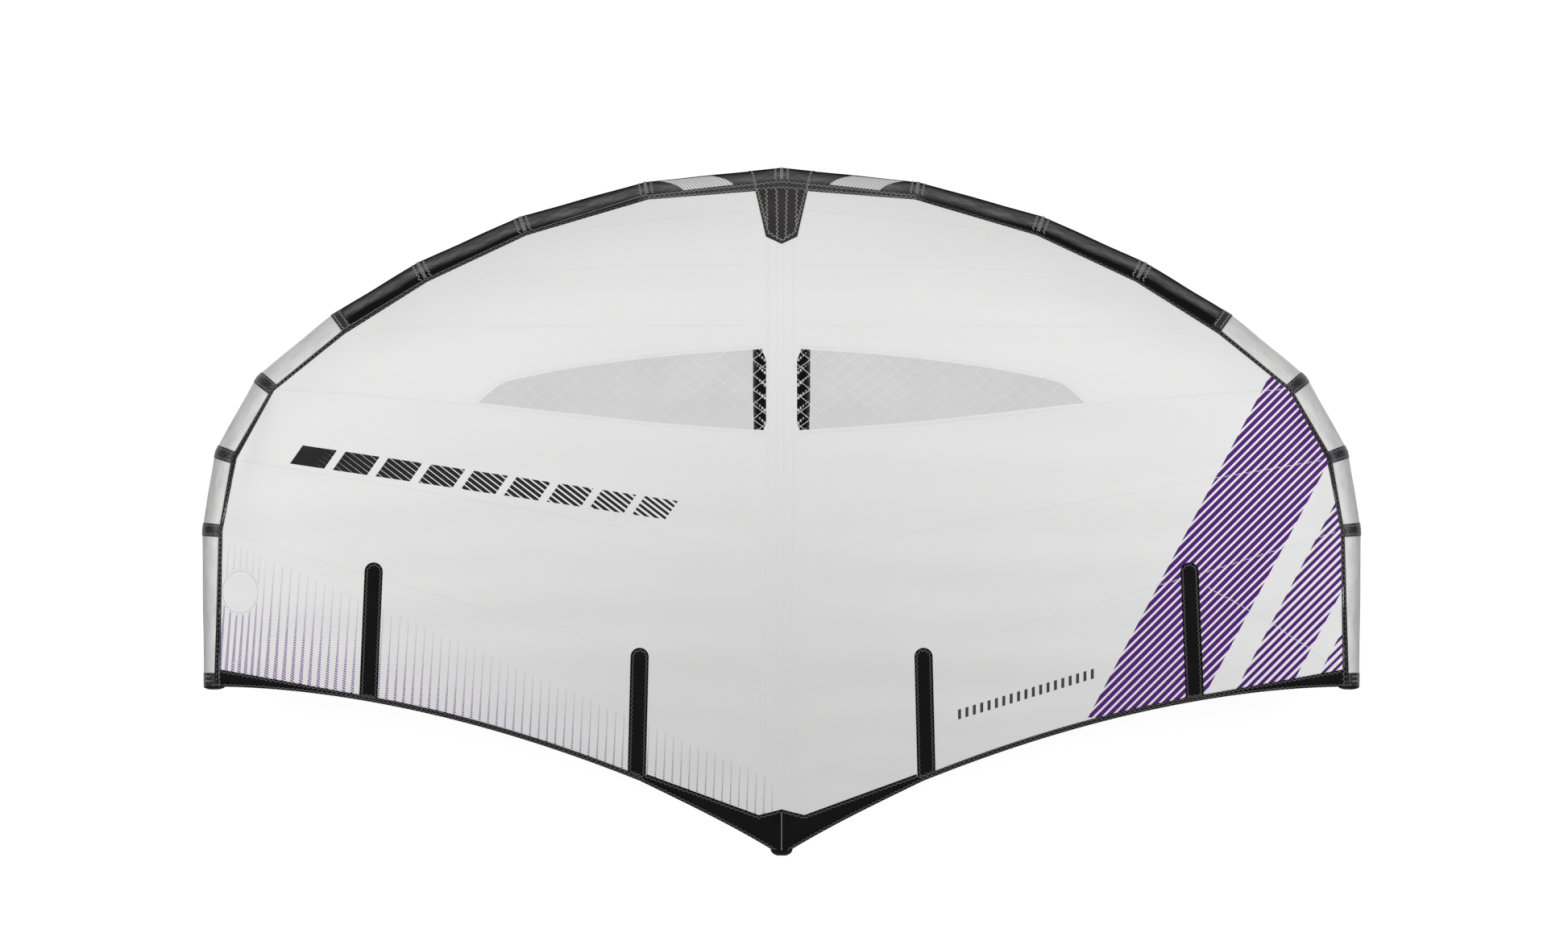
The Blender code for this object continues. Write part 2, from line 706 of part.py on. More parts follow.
def make_rear_tapes():
    """Trailing edge tape with its wide tip corner each side, and the reinforcement at the strut."""
    lift = CANOPY_THICKNESS + FIT_GAP
    beyond = -FRONT - CUT_OVERRUN
    start = column_at(PATCH_OUTER_OUT - CUT_OVERRUN * 2)
    for side_name, side in SIDES:
        tape = sheet(
            f"trailing_tape_{side_name}", half_columns(start), ROW_SHARES[-4:], lift, TAPE_THICKNESS, side,
            "black_webbing"
        )
        first = PATCH_OUTER_OUT + FIT_GAP
        inner = rear_line(first, CORNER_INNER_OUT, REAR_TAPE_WIDTH)
        outline = [(first, beyond)] + inner
        outline.append((REAR_TIP.x + CUT_OVERRUN, REAR_TIP.y + CORNER_DEPTH))
        outline.append((REAR_TIP.x + CUT_OVERRUN, beyond))
        boolean(tape, tall_prism(f"tape_outline_{side_name}", outline, side), "INTERSECT")
    patch_columns = (0.0, column_at(STRIP_HALF_WIDTH), *half_columns(column_at(STRIP_HALF_WIDTH))[1:4])
    patch = sheet("trailing_patch", patch_columns, ROW_SHARES[-4:], lift, TAPE_THICKNESS, 0, "black_webbing")
    right = [
        (PATCH_OUTER_OUT, beyond),
        (PATCH_OUTER_OUT, rear_y(PATCH_OUTER_OUT) + REAR_TAPE_WIDTH),
        (PATCH_SHOULDER_OUT, rear_y(PATCH_SHOULDER_OUT) + PATCH_SHOULDER_DEPTH),
    ]
    peak = (0, REAR_END + PATCH_PEAK_DEPTH)
    outline = right + [peak] + [(-x, y) for x, y in reversed(right)]
    boolean(patch, tall_prism("patch_outline", outline, 1), "INTERSECT")


def make_nose_patch():
    """Black patch over the canopy at the nose."""
    lift = CANOPY_THICKNESS + FIT_GAP
    columns = (0.0, column_at(STRIP_HALF_WIDTH), COLUMN_SHARES[0])
    patch = sheet("nose_patch", columns, ROW_SHARES[:6], lift, TAPE_THICKNESS, 0, "black_cloth")
    front = seam_point(0).y
    right = [
        (NOSE_HALF_WIDTH, front + CUT_OVERRUN),
        (NOSE_HALF_WIDTH, front),
        (NOSE_END_HALF_WIDTH, front - NOSE_SIDE_LENGTH),
    ]
    outline = right + [(0, front - NOSE_POINT_LENGTH)] + [(-x, y) for x, y in reversed(right)]
    boolean(patch, tall_prism("nose_outline", outline, 1), "INTERSECT")


def pocket_outline(top, end, width, rear):
    """Straight strip with a round top, from its top centre to its rear end."""
    radius = width / 2
    run = (end - top).normalized()
    across = Vector((-run.y, run.x))
    hub = top + run * radius
    outline = []
    for k in range(POCKET_ARC_STEPS + 1):
        angle = pi * k / POCKET_ARC_STEPS
        outline.append(hub + across * cos(angle) * radius - run * sin(angle) * radius)
    for edge in (-across, across):
        start = hub + edge * radius
        outline.append(start + run * (rear - start.y) / run.y)
    return [(point.x, point.y) for point in outline]


def make_pockets():
    """Batten pockets open at the rear, each with its batten inside."""
    lift = CANOPY_THICKNESS + FIT_GAP
    wall = (POCKET_HEIGHT - BATTEN_THICKNESS) / 2 - FIT_GAP
    places = zip(("outer", "inner"), POCKET_TOP_OUTS, POCKET_TOPS, POCKET_END_OUTS)
    for place_name, top_out, top_y, end_out in places:
        top = Vector((top_out, top_y))
        rear = max(rear_y(end_out - POCKET_WIDTH / 2), rear_y(end_out + POCKET_WIDTH / 2))
        rear += REAR_TAPE_WIDTH + FIT_GAP * 2
        end = Vector((end_out, rear))
        low = [column for column in COLUMN_SHARES if seam_along(column).x < top_out - POCKET_WIDTH]
        high = [column for column in COLUMN_SHARES if seam_along(column).x > end_out + POCKET_WIDTH]
        first = low[-1] if low else column_at(STRIP_HALF_WIDTH)
        columns = [column for column in COLUMN_SHARES if first <= column <= high[0]]
        if not low:
            columns.insert(0, first)
        slot_width = BATTEN_WIDTH + FIT_GAP * 4
        inset = (end - top).normalized() * (BATTEN_END_MARGIN - FIT_GAP * 2)
        for side_name, side in SIDES:
            name = f"{place_name}_{side_name}"
            pocket = sheet(
                f"batten_pocket_{name}", columns, ROW_SHARES[7:], lift, POCKET_HEIGHT, side, "black_webbing"
            )
            outline = pocket_outline(top, end, POCKET_WIDTH, rear)
            boolean(pocket, tall_prism(f"pocket_outline_{name}", outline, side), "INTERSECT")
            slot_height = BATTEN_THICKNESS + FIT_GAP * 2
            slot = sheet(f"pocket_slot_{name}", columns, ROW_SHARES[7:], lift + wall, slot_height, side)
            slot_outline = pocket_outline(top + inset, end, slot_width, rear - CUT_OVERRUN)
            boolean(slot, tall_prism(f"slot_outline_{name}", slot_outline, side), "INTERSECT")
            boolean(pocket, slot)
            batten = sheet(
                f"batten_{name}", columns, ROW_SHARES[7:], lift + wall + FIT_GAP, BATTEN_THICKNESS, side,
                "batten_glass"
            )
            tip = top + (end - top).normalized() * BATTEN_END_MARGIN
            batten_outline = pocket_outline(tip, end, BATTEN_WIDTH, rear + FIT_GAP)
            boolean(batten, tall_prism(f"batten_outline_{name}", batten_outline, side), "INTERSECT")


class Strut:
    """Centre tube under the canopy: it hangs from the canopy's middle line."""

    def __init__(self):
        self.rows = ROW_SHARES[STRUT_FRONT_ROW_COUNT:]
        self.tops = [canopy_point(0.0, row) for row in self.rows]

    def radius(self, place):
        """Radius at a place along Y."""
        if place > STRUT_WIDEST:
            share = (place - STRUT_WIDEST) / (self.tops[0].y - STRUT_WIDEST)
            return mix(STRUT_RADIUS, STRUT_FRONT_RADIUS, share ** STRUT_FRONT_POWER)
        share = (STRUT_WIDEST - place) / (STRUT_WIDEST - self.tops[-1].y)
        return mix(STRUT_RADIUS, STRUT_REAR_RADIUS, share ** STRUT_REAR_POWER)

    def centre(self, place):
        """Centre at a place along Y, between the rings that the skin runs through."""
        for near, far in zip(self.tops, self.tops[1:]):
            if far.y <= place:
                break
        share = (near.y - place) / (near.y - far.y)
        near_radius, far_radius = self.radius(near.y), self.radius(far.y)
        height = mix(near.z - near_radius, far.z - far_radius, share) - FIT_GAP
        return Vector((0, place, height)), mix(near_radius, far_radius, share)

    def point(self, place, angle, extra=0.0):
        """Point on the strut at a place along Y and an angle up from +X."""
        centre, radius = self.centre(place)
        return centre + Vector((cos(angle), 0, sin(angle))) * (radius + extra)

    def normal(self, place, angle):
        """Direction square to the strut's skin."""
        along = self.point(place + PORT_RADIUS, angle) - self.point(place - PORT_RADIUS, angle)
        around = Vector((-sin(angle), 0, cos(angle)))
        return along.cross(around).normalized()

    def ring(self, place, extra):
        """Ring of points round the strut."""
        return [self.point(place, 2 * pi * k / STRUT_SIDES, extra) for k in range(STRUT_SIDES)]


STRUT = Strut()


def make_strut():
    """Strut sleeve, its bladder and its end cap."""
    places = [point.y for point in STRUT.tops]
    outer = [STRUT.ring(place, 0.0) for place in places]
    inner = [STRUT.ring(place, -CLOTH_WALL) for place in reversed(places)]
    count = len(places)
    inner_bands = range(count, 2 * count - 1)
    sleeve = loft("strut_sleeve", outer + inner, "black_cloth", looped=True, flips=inner_bands)
    smooth(sleeve)
    boolean(sleeve, tube_solid("tube_for_sleeve", FIT_GAP * 2, -1, 1))
    skin = -CLOTH_WALL - FIT_GAP
    bladder = loft("strut_bladder", [STRUT.ring(place, skin) for place in places], "bladder_film")
    boolean(bladder, tube_solid("tube_for_bladder", FIT_GAP * 4, -1, 1))
    air_places = [places[0] - BLADDER_WALL, *places[1:-1], places[-1] + BLADDER_WALL]
    air = loft("strut_air", [STRUT.ring(place, skin - BLADDER_WALL) for place in air_places])
    boolean(air, tube_solid("tube_for_air", FIT_GAP * 4 + BLADDER_WALL, -1, 1))
    boolean(bladder, air)
    smooth(bladder)
    centre, radius = STRUT.centre(places[-1])
    depth = places[-1] + FRONT - FIT_GAP
    rings = []
    for share in STRUT_CAP_DROP_SHARES:
        width = sqrt(1 - share * share * STRUT_CAP_ROUND_SHARE)
        place = places[-1] - FIT_GAP - depth * share
        ring = []
        for k in range(STRUT_SIDES):
            angle = 2 * pi * k / STRUT_SIDES
            ring.append(Vector((0, place, centre.z)) + Vector((cos(angle), 0, sin(angle))) * radius * width)
        rings.append(ring)
    cap = loft("strut_end_cap", rings, "black_webbing")
    smooth(cap, 60.0)
    return sleeve, bladder


def make_handle(name, origin, along, spread, down):
    """Soft handle: a webbing strap on two feet and a foam grip. It swings on the line of its feet."""
    frame = frame_along(origin, -Vector(down), along)
    pivot = bpy.data.objects.new(f"{name}_pivot", None)
    PARTS.objects.link(pivot)
    pivot.matrix_world = frame
    half, drop = spread / 2, HANDLE_DROP
    grip_half = half * GRIP_SPREAD_SHARE
    path = [(-half, STRAP_WIDTH / 2), (-half, 0), (-grip_half, -drop), (grip_half, -drop), (half, 0)]
    path.append((half, STRAP_WIDTH / 2))
    offset = STRAP_THICKNESS / 2
    upper, lower = [], []
    for k, (x, z) in enumerate(path):
        before, after = path[max(k - 1, 0)], path[min(k + 1, len(path) - 1)]
        run = Vector((after[0] - before[0], after[1] - before[1])).normalized()
        upper.append((x - run.y * offset, z + run.x * offset))
        lower.append((x + run.y * offset, z - run.x * offset))
    outline = [(x, z) for x, z in upper + lower[::-1]]
    turn = Matrix.Rotation(pi / 2, 4, "X")
    strap = prism(f"{name}_strap", outline, -STRAP_WIDTH / 2, STRAP_WIDTH / 2, "black_webbing", turn)
    strap.matrix_world = frame @ turn
    radius = STRAP_WIDTH / 2
    arch = []
    for k in range(POCKET_ARC_STEPS + 1):
        angle = pi * k / POCKET_ARC_STEPS
        arch.append((sin(angle - pi / 2) * -radius, cos(angle - pi / 2) * radius))
    arch += [(-radius, -drop * 2), (radius, -drop * 2)]
    along_frame = frame @ Matrix(((0, 0, 1, 0), (1, 0, 0, 0), (0, 1, 0, 0), (0, 0, 0, 1)))
    trim = prism(f"{name}_strap_trim", arch, -spread, spread, None, along_frame)
    boolean(strap, trim, "INTERSECT")
    grip_reach = grip_half - GRIP_RADIUS / 2
    grip_frame = frame @ Matrix.Translation((0, 0, -drop)) @ Matrix.Rotation(pi / 2, 4, "Y")
    grip = rod(f"{name}_grip", GRIP_RADIUS, -grip_reach, grip_reach, GRIP_SIDES, "foam_grip", grip_frame)
    smooth(grip)
    tall, wide = STRAP_THICKNESS / 2 + FIT_GAP, STRAP_WIDTH / 2 + FIT_GAP
    slot = box(
        f"{name}_grip_slot", (-tall, -wide, -spread), (tall, wide, spread), None, grip_frame
    )
    boolean(grip, slot)
    for piece in (strap, grip):
        piece.parent = pivot
        piece.matrix_parent_inverse = pivot.matrix_world.inverted()


def make_handles():
    """Leading edge handle under the nose, front and rear handles under the strut."""
    clear = STRAP_WIDTH / 2 + FIT_GAP
    half = HANDLE_SPREADS[0] / 2
    foot = TUBE.along(half / TUBE.centres[1].x, -pi / 2)
    origin = Vector((0, foot.y, foot.z - clear))
    make_handle("nose_handle", origin, (1, 0, 0), HANDLE_SPREADS[0], (0, 0, -1))
    for name, spread, place in zip(("front_handle", "rear_handle"), HANDLE_SPREADS[1:], STRUT_HANDLE_PLACES):
        fore = STRUT.point(place + spread / 2, -pi / 2)
        aft = STRUT.point(place - spread / 2, -pi / 2)
        along = (fore - aft).normalized()
        down = Vector((0, along.z, -along.y))
        origin = (fore + aft) / 2 + down * clear
        make_handle(name, origin, along, spread, down)


def valve_frame():
    """Frame on the tube's lowest line at the valve, Z pointing down out of the tube."""
    place = VALVE_OUT / TUBE.centres[1].x
    origin = TUBE.along(place, -pi / 2)
    run = (TUBE.point(1, -pi / 2) - TUBE.point(0, -pi / 2)).normalized()
    down = Vector((0, 0, -1)) - run * Vector((0, 0, -1)).dot(run)
    return frame_along(origin, down, run)


def make_valve(panel, bladder):
    """Inflation valve through panel and bladder: base, poppet and hinged cap."""
    frame = valve_frame()
    flange_top = FIT_GAP
    flange_end = flange_top + VALVE_FLANGE_THICKNESS
    profile = [
        (VALVE_BORE_RADIUS, -VALVE_BARREL_HEIGHT),
        (VALVE_BARREL_RADIUS, -VALVE_BARREL_HEIGHT),
        (VALVE_BARREL_RADIUS, flange_top),
        (VALVE_FLANGE_RADIUS, flange_top),
        (VALVE_FLANGE_RADIUS, flange_end),
        (VALVE_NECK_RADIUS, flange_end),
        (VALVE_NECK_RADIUS, VALVE_NECK_DEPTH),
        (VALVE_BORE_RADIUS, VALVE_NECK_DEPTH),
        (VALVE_BORE_RADIUS, VALVE_SEAT_THICKNESS),
        (VALVE_SEAT_BORE_RADIUS, VALVE_SEAT_THICKNESS),
        (VALVE_SEAT_BORE_RADIUS, 0),
        (VALVE_BORE_RADIUS, 0),
    ]
    base = turned("valve_base", profile[::-1], "soft_valve", frame)
    knuckle_depth = VALVE_NECK_DEPTH - CAP_KNUCKLE_RADIUS * 2
    for k, way in enumerate((-1, 1)):
        inner = CAP_KNUCKLE_WIDTH / 2 + FIT_GAP
        across = sorted((way * inner, way * (inner + EAR_WIDTH)))
        low = (CAP_HINGE_OUT - CAP_KNUCKLE_RADIUS, across[0], flange_end - VALVE_FLANGE_THICKNESS / 2)
        high = (CAP_HINGE_OUT + CAP_KNUCKLE_RADIUS, across[1], knuckle_depth + CAP_KNUCKLE_RADIUS)
        boolean(base, box(f"valve_ear_{k}", low, high, None, frame), "UNION")
    poppet_top = -FIT_GAP
    stem_end = poppet_top + POPPET_STEM_LENGTH
    poppet_profile = [
        (0, poppet_top - POPPET_THICKNESS),
        (POPPET_RADIUS, poppet_top - POPPET_THICKNESS),
        (POPPET_RADIUS, poppet_top),
        (POPPET_STEM_RADIUS, poppet_top),
        (POPPET_STEM_RADIUS, stem_end),
        (0, stem_end),
    ]
    turned("valve_poppet", poppet_profile[::-1], "moulded_plastic", frame)
    cap_low = VALVE_NECK_DEPTH + FIT_GAP
    hinge = frame @ Matrix.Translation((CAP_HINGE_OUT, 0, knuckle_depth)) @ Matrix.Rotation(pi / 2, 4, "X")
    cap = rod(
        "valve_cap", CAP_KNUCKLE_RADIUS, -CAP_KNUCKLE_WIDTH / 2, CAP_KNUCKLE_WIDTH / 2, CAP_KNUCKLE_SIDES,
        "moulded_plastic", hinge
    )
    lid = rod("valve_lid", VALVE_NECK_RADIUS, cap_low, cap_low + CAP_THICKNESS, ROUND_SIDES, None, frame)
    web = box(
        "valve_web",
        (VALVE_NECK_RADIUS - CAP_KNUCKLE_RADIUS * 2, -CAP_KNUCKLE_WIDTH / 2, cap_low),
        (CAP_HINGE_OUT + CAP_KNUCKLE_RADIUS, CAP_KNUCKLE_WIDTH / 2, cap_low + CAP_THICKNESS / 2),
        None, frame
    )
    riser = box(
        "valve_riser",
        (CAP_HINGE_OUT - CAP_KNUCKLE_RADIUS / 2, -CAP_KNUCKLE_WIDTH / 2, knuckle_depth),
        (CAP_HINGE_OUT + CAP_KNUCKLE_RADIUS, CAP_KNUCKLE_WIDTH / 2, cap_low + CAP_THICKNESS / 4),
        None, frame
    )
    for piece in (riser, web, lid):
        boolean(cap, piece, "UNION")
    for host, name in ((panel, "panel_hole"), (bladder, "bladder_hole")):
        reach = VALVE_BARREL_HEIGHT + CUT_OVERRUN
        hole = rod(name, VALVE_BARREL_RADIUS + FIT_GAP, -reach, CUT_OVERRUN / 4, ROUND_SIDES, None, frame)
        boolean(host, hole)


def make_port(name, frame, hosts):
    """Welded hose port: flange, neck and bore, with its hole in the cloth and bladder under it."""
    profile = [
        (PORT_BORE_RADIUS, FIT_GAP),
        (PORT_RADIUS, FIT_GAP),
        (PORT_RADIUS, PORT_HEIGHT / 2),
        (PORT_NECK_RADIUS, PORT_HEIGHT),
        (PORT_NECK_RADIUS, PORT_NECK_HEIGHT),
        (PORT_BORE_RADIUS, PORT_NECK_HEIGHT),
    ]
    turned(name, profile[::-1], "soft_valve", frame)
    for host in hosts:
        hole_name = f"{name}_hole_{host.name}"
        hole = rod(hole_name, PORT_BORE_RADIUS, -PORT_RADIUS, PORT_RADIUS / 2, PORT_BORE_SIDES, None, frame)
        boolean(host, hole)


def make_hose(panel, tube_bladder, sleeve, strut_bladder):
    """Hose from the leading edge to the strut, its two ports, and the clamp on it."""
    angle = radians(HOSE_TUBE_DEGREES)
    place = HOSE_TUBE_OUT / TUBE.centres[1].x
    start = TUBE.along(place, angle)
    axle = TUBE.centres[0].lerp(TUBE.centres[1], place)
    start_way = (start - axle).normalized()
    start = Vector((-start.x, start.y, start.z))
    start_way = Vector((-start_way.x, start_way.y, start_way.z))
    turn = radians(HOSE_STRUT_DEGREES)
    strut_place = STRUT.tops[0].y - HOSE_STRUT_BACK
    end = STRUT.point(strut_place, turn)
    end_way = STRUT.normal(strut_place, turn)
    make_port("hose_port_leading_edge", frame_along(start, start_way, (0, 1, 0)), (panel, tube_bladder))
    make_port("hose_port_strut", frame_along(end, end_way, (0, 1, 0)), (sleeve, strut_bladder))
    neck = PORT_NECK_HEIGHT + FIT_GAP
    first, last = start + start_way * neck, end + end_way * neck
    points = [first]
    a, d = first + start_way * HOSE_RADIUS * 2, last + end_way * HOSE_RADIUS * 2
    b, c = a + start_way * HOSE_REACH, d + end_way * HOSE_REACH
    for k in range(HOSE_STEPS + 1):
        t = k / HOSE_STEPS
        point = a * (1 - t) ** 3 + b * 3 * t * (1 - t) ** 2 + c * 3 * t * t * (1 - t) + d * t ** 3
        points.append(point)
    points.append(last)
    curve = bpy.data.curves.new("inflation_hose", "CURVE")
    curve.dimensions = "3D"
    curve.bevel_depth = HOSE_RADIUS
    curve.bevel_resolution = 2
    curve.use_fill_caps = True
    spline = curve.splines.new("POLY")
    spline.points.add(len(points) - 1)
    for knot, point in zip(spline.points, points):
        knot.co = (*point, 1.0)
    curve.materials.append(MATERIALS["bladder_film"])
    hose = bpy.data.objects.new("inflation_hose", curve)
    PARTS.objects.link(hose)
    middle = len(points) // 2
    centre = points[middle]
    run = points[middle + 1] - points[middle - 1]
    make_clamp(centre, run, -start_way.cross(end_way))


def make_clamp(centre, run, up):
    """Pinch clamp round the hose: body with ears, and the lever on it."""
    frame = frame_along(centre, up - run * up.dot(run) / run.length_squared, run)
    long, wide, tall = CLAMP_LENGTH / 2, CLAMP_WIDTH / 2, CLAMP_HEIGHT / 2
    body = box("hose_clamp", (-long, -wide, -tall), (long, wide, tall), "moulded_plastic", frame)
    bore_frame = frame @ Matrix.Rotation(pi / 2, 4, "Y")
    bore = rod(
        "clamp_bore", HOSE_RADIUS * CLAMP_BORE_SHARE + FIT_GAP, -CLAMP_LENGTH, CLAMP_LENGTH, GRIP_SIDES, None,
        bore_frame
    )
    boolean(body, bore)
    lever_low = tall + FIT_GAP
    hinge_x = -long + LEVER_THICKNESS * 2
    hinge_z = lever_low + LEVER_THICKNESS / 2
    for k, way in enumerate((-1, 1)):
        inner = LEVER_WIDTH / 2 + FIT_GAP
        across = sorted((way * inner, way * (inner + EAR_WIDTH)))
        low = (hinge_x - LEVER_THICKNESS, across[0], tall - LEVER_THICKNESS)
        high = (hinge_x + LEVER_THICKNESS, across[1], hinge_z + LEVER_THICKNESS)
        boolean(body, box(f"clamp_ear_{k}", low, high, None, frame), "UNION")
    hinge = frame @ Matrix.Translation((hinge_x, 0, hinge_z))
    radius = LEVER_THICKNESS / 2
    reach = long + LEVER_OVERHANG - hinge_x
    outline = []
    for k in range(POCKET_ARC_STEPS + 1):
        angle = pi / 2 + pi * k / POCKET_ARC_STEPS
        outline.append((cos(angle) * radius, sin(angle) * radius))
    outline += [(reach, -radius), (reach, radius)]
    lever_frame = hinge @ Matrix.Rotation(pi / 2, 4, "X")
    prism("clamp_lever", outline, -LEVER_WIDTH / 2, LEVER_WIDTH / 2, "moulded_plastic", lever_frame)


def make_leash_point():
    """Webbing tab under the strut with a steel ring through it."""
    root = STRUT.point(LEASH_PLACE, -pi / 2, FIT_GAP)
    hole_drop = LEASH_TAB_DROP - LEASH_TAB_WIDTH / 2
    hub = root - Vector((0, 0, hole_drop))
    radius = LEASH_TAB_WIDTH / 2
    slope = STRUT.point(LEASH_PLACE + radius, -pi / 2).z - STRUT.point(LEASH_PLACE - radius, -pi / 2).z
    outline = [(-radius, hole_drop - slope / 2), (-radius, 0)]
    for k in range(1, POCKET_ARC_STEPS):
        angle = pi + pi * k / POCKET_ARC_STEPS
        outline.append((cos(angle) * radius, sin(angle) * radius))
    outline += [(radius, 0), (radius, hole_drop + slope / 2)]
    half = LEASH_TAB_THICKNESS / 2
    frame = Matrix.Translation(hub) @ Matrix(((0, 0, 1, 0), (1, 0, 0, 0), (0, 1, 0, 0), (0, 0, 0, 1)))
    tab = prism("leash_tab", outline, -half, half, "black_webbing", frame)
    boolean(tab, rod("leash_hole", LEASH_HOLE_RADIUS, -CUT_OVERRUN, CUT_OVERRUN, GRIP_SIDES, None, frame))
    shape = bmesh.new()
    sections = []
    for k in range(ROUND_SIDES):
        angle = 2 * pi * k / ROUND_SIDES
        out = Vector((sin(angle), 0, cos(angle)))
        middle = out * LEASH_RING_RADIUS - Vector((0, 0, LEASH_RING_RADIUS))
        ring = []
        for j in range(LEASH_WIRE_SIDES):
            turn = 2 * pi * j / LEASH_WIRE_SIDES
            ring.append(middle + (out * cos(turn) + Vector((0, sin(turn), 0))) * LEASH_WIRE_RADIUS)
        sections.append([shape.verts.new(point) for point in ring])
    for low, high in zip(sections, sections[1:] + sections[:1]):
        for j in range(LEASH_WIRE_SIDES):
            after = (j + 1) % LEASH_WIRE_SIDES
            shape.faces.new((low[j], low[after], high[after], high[j]))
    ring = object_from_bmesh("leash_ring", shape, "steel", Matrix.Translation(hub))
    smooth(ring, 60.0)


def stand_on_ground():
    """Move the whole wing up so that its lowest point is at height zero."""
    bpy.context.view_layer.update()
    graph = bpy.context.evaluated_depsgraph_get()
    lowest = 0.0
    for item in PARTS.objects:
        if item.type == "EMPTY":
            continue
        shown = item.evaluated_get(graph)
        mesh = shown.to_mesh()
        for vertex in mesh.vertices:
            lowest = min(lowest, (shown.matrix_world @ vertex.co).z)
        shown.to_mesh_clear()
    for item in bpy.data.objects:
        if item.parent is None:
            item.matrix_world = Matrix.Translation((0, 0, -lowest)) @ item.matrix_world
    bpy.context.view_layer.update()


def main():
    """Build the wing."""
    panels = make_panels()
    bladder = make_tube_bladder()
    make_tip_caps()
    make_seam_tapes()
    make_scuff_pads()
    make_canopy()
    make_rear_tapes()
    make_nose_patch()
    make_pockets()
    sleeve, strut_bladder = make_strut()
    make_handles()
    make_valve(panels[panel_name("right", 0)], bladder)
    make_hose(panels[panel_name("left", 0)], bladder, sleeve, strut_bladder)
    make_leash_point()
    stand_on_ground()


main()
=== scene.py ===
"""Wingfoil wing, dressed: cloth, film, webbing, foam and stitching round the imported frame.

Metres. X runs along the span, +Y points forward to the nose and +Z up. The canopy is one smooth
surface, and every sewn piece and thread is laid on it, on the leading edge tube or on the strut.
Paired pieces are drawn on the right half and mirrored.
"""

import json
from functools import partialmethod
from math import cos, pi, radians, sin, sqrt

import bpy
import numpy as np
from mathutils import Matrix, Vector
from mathutils.bvhtree import BVHTree
from mathutils.geometry import delaunay_2d_cdt


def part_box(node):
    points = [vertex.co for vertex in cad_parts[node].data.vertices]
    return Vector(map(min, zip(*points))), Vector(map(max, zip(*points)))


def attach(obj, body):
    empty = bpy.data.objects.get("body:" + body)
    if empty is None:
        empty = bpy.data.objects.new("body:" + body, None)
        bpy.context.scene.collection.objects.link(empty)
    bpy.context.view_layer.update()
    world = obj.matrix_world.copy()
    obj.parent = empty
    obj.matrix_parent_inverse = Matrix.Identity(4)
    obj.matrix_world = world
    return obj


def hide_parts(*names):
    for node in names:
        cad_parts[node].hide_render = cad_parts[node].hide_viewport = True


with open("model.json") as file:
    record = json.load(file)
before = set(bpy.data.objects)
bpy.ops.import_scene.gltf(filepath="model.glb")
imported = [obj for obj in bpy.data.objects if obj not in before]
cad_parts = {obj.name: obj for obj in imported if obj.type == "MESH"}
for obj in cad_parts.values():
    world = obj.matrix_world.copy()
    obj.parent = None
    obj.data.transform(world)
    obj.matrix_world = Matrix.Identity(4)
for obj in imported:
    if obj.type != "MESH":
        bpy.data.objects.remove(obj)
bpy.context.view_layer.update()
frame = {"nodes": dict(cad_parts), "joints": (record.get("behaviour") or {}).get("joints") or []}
SCENE = bpy.context.scene
SIDES = (("right", 1), ("left", -1))
UP = np.array([0.0, 0.0, 1.0])

# Camera: the image's size in pixels, metres to a pixel, and the pixel at the world's origin
IMAGE_WIDTH, IMAGE_HEIGHT = 1946, 1168
PIXEL = 0.00274
AXIS_X, AXIS_Y = 970.0, 635.25

# Shape, as in the part's source
HALF_WIDTH = 1.970
FRONT = 1.1695
TIP = 8
STATIONS = np.arange(TIP + 1)
OUT_SHARES = np.array([0.0, 0.2364, 0.4520, 0.6287, 0.7775, 0.9054, 0.9777, 1.0, 0.9972])
BACK_SHARES = np.array([0.0, 0.0205, 0.0709, 0.1377, 0.2138, 0.3029, 0.4118, 0.5255, 0.7540])
TUBE_RADIUS = 0.125
RADII = TUBE_RADIUS * np.array([1.0, 0.976, 0.912, 0.824, 0.720, 0.608, 0.496, 0.400, 0.288])
TIP_RISE, RISE_POWER = 0.500, 1.5
SEAM_ANGLES = np.radians([64.5, 59.6, 65.6, 73.0, 82.4, 88.0, 101.0, 101.5, 111.0])
TAPE_ANGLES = np.radians([47.8, 51.0, 60.6, 67.8, 73.9, 80.9, 86.8, 96.9, 88.4])
TAPE_INSETS = np.array([0.0012, 0.0012, 0.0012, 0.0012, 0.0012, 0.0014, 0.0020, 0.0085, 0.0065])
TAPE_LIFT, EDGE_GAP = 0.0012, 0.0010
STRIP_HALF_WIDTH = 0.0525
SIDE = 6
SIDE_KNEE = 0.345
CAMBERS = np.array([0.085, 0.105, 0.110, 0.100, 0.080, 0.050, 0.0])
PEAK = 0.28
REAR_CENTRE_HEIGHT = 0.075
REAR_KNEE_OUT, REAR_KNEE_DROP, REAR_CURVE_POWER = 0.480, 0.3206, 1.8
REAR_END = -FRONT + 0.0215
STRUT_RADIUS, STRUT_FRONT_RADIUS, STRUT_REAR_RADIUS = 0.0975, 0.085, 0.037
STRUT_WIDEST, STRUT_FRONT = 0.450, 0.9889
HANDLE_SPREADS = {"nose_handle": 0.200, "front_handle": 0.260, "rear_handle": 0.260}


# Small sums

def spot(x, y):
    """World X and Y of a point of the image."""
    return np.array([(x - AXIS_X) * PIXEL, (AXIS_Y - y) * PIXEL])


def unit(v):
    """Vectors of length one."""
    return v / np.linalg.norm(v, axis=-1, keepdims=True)


def mix(a, b, share):
    """Value part of the way from a to b."""
    return a + (b - a) * share


def ease(t):
    """Smooth step from 0 to 1."""
    t = np.clip(t, 0, 1)
    return t * t * (3 - 2 * t)


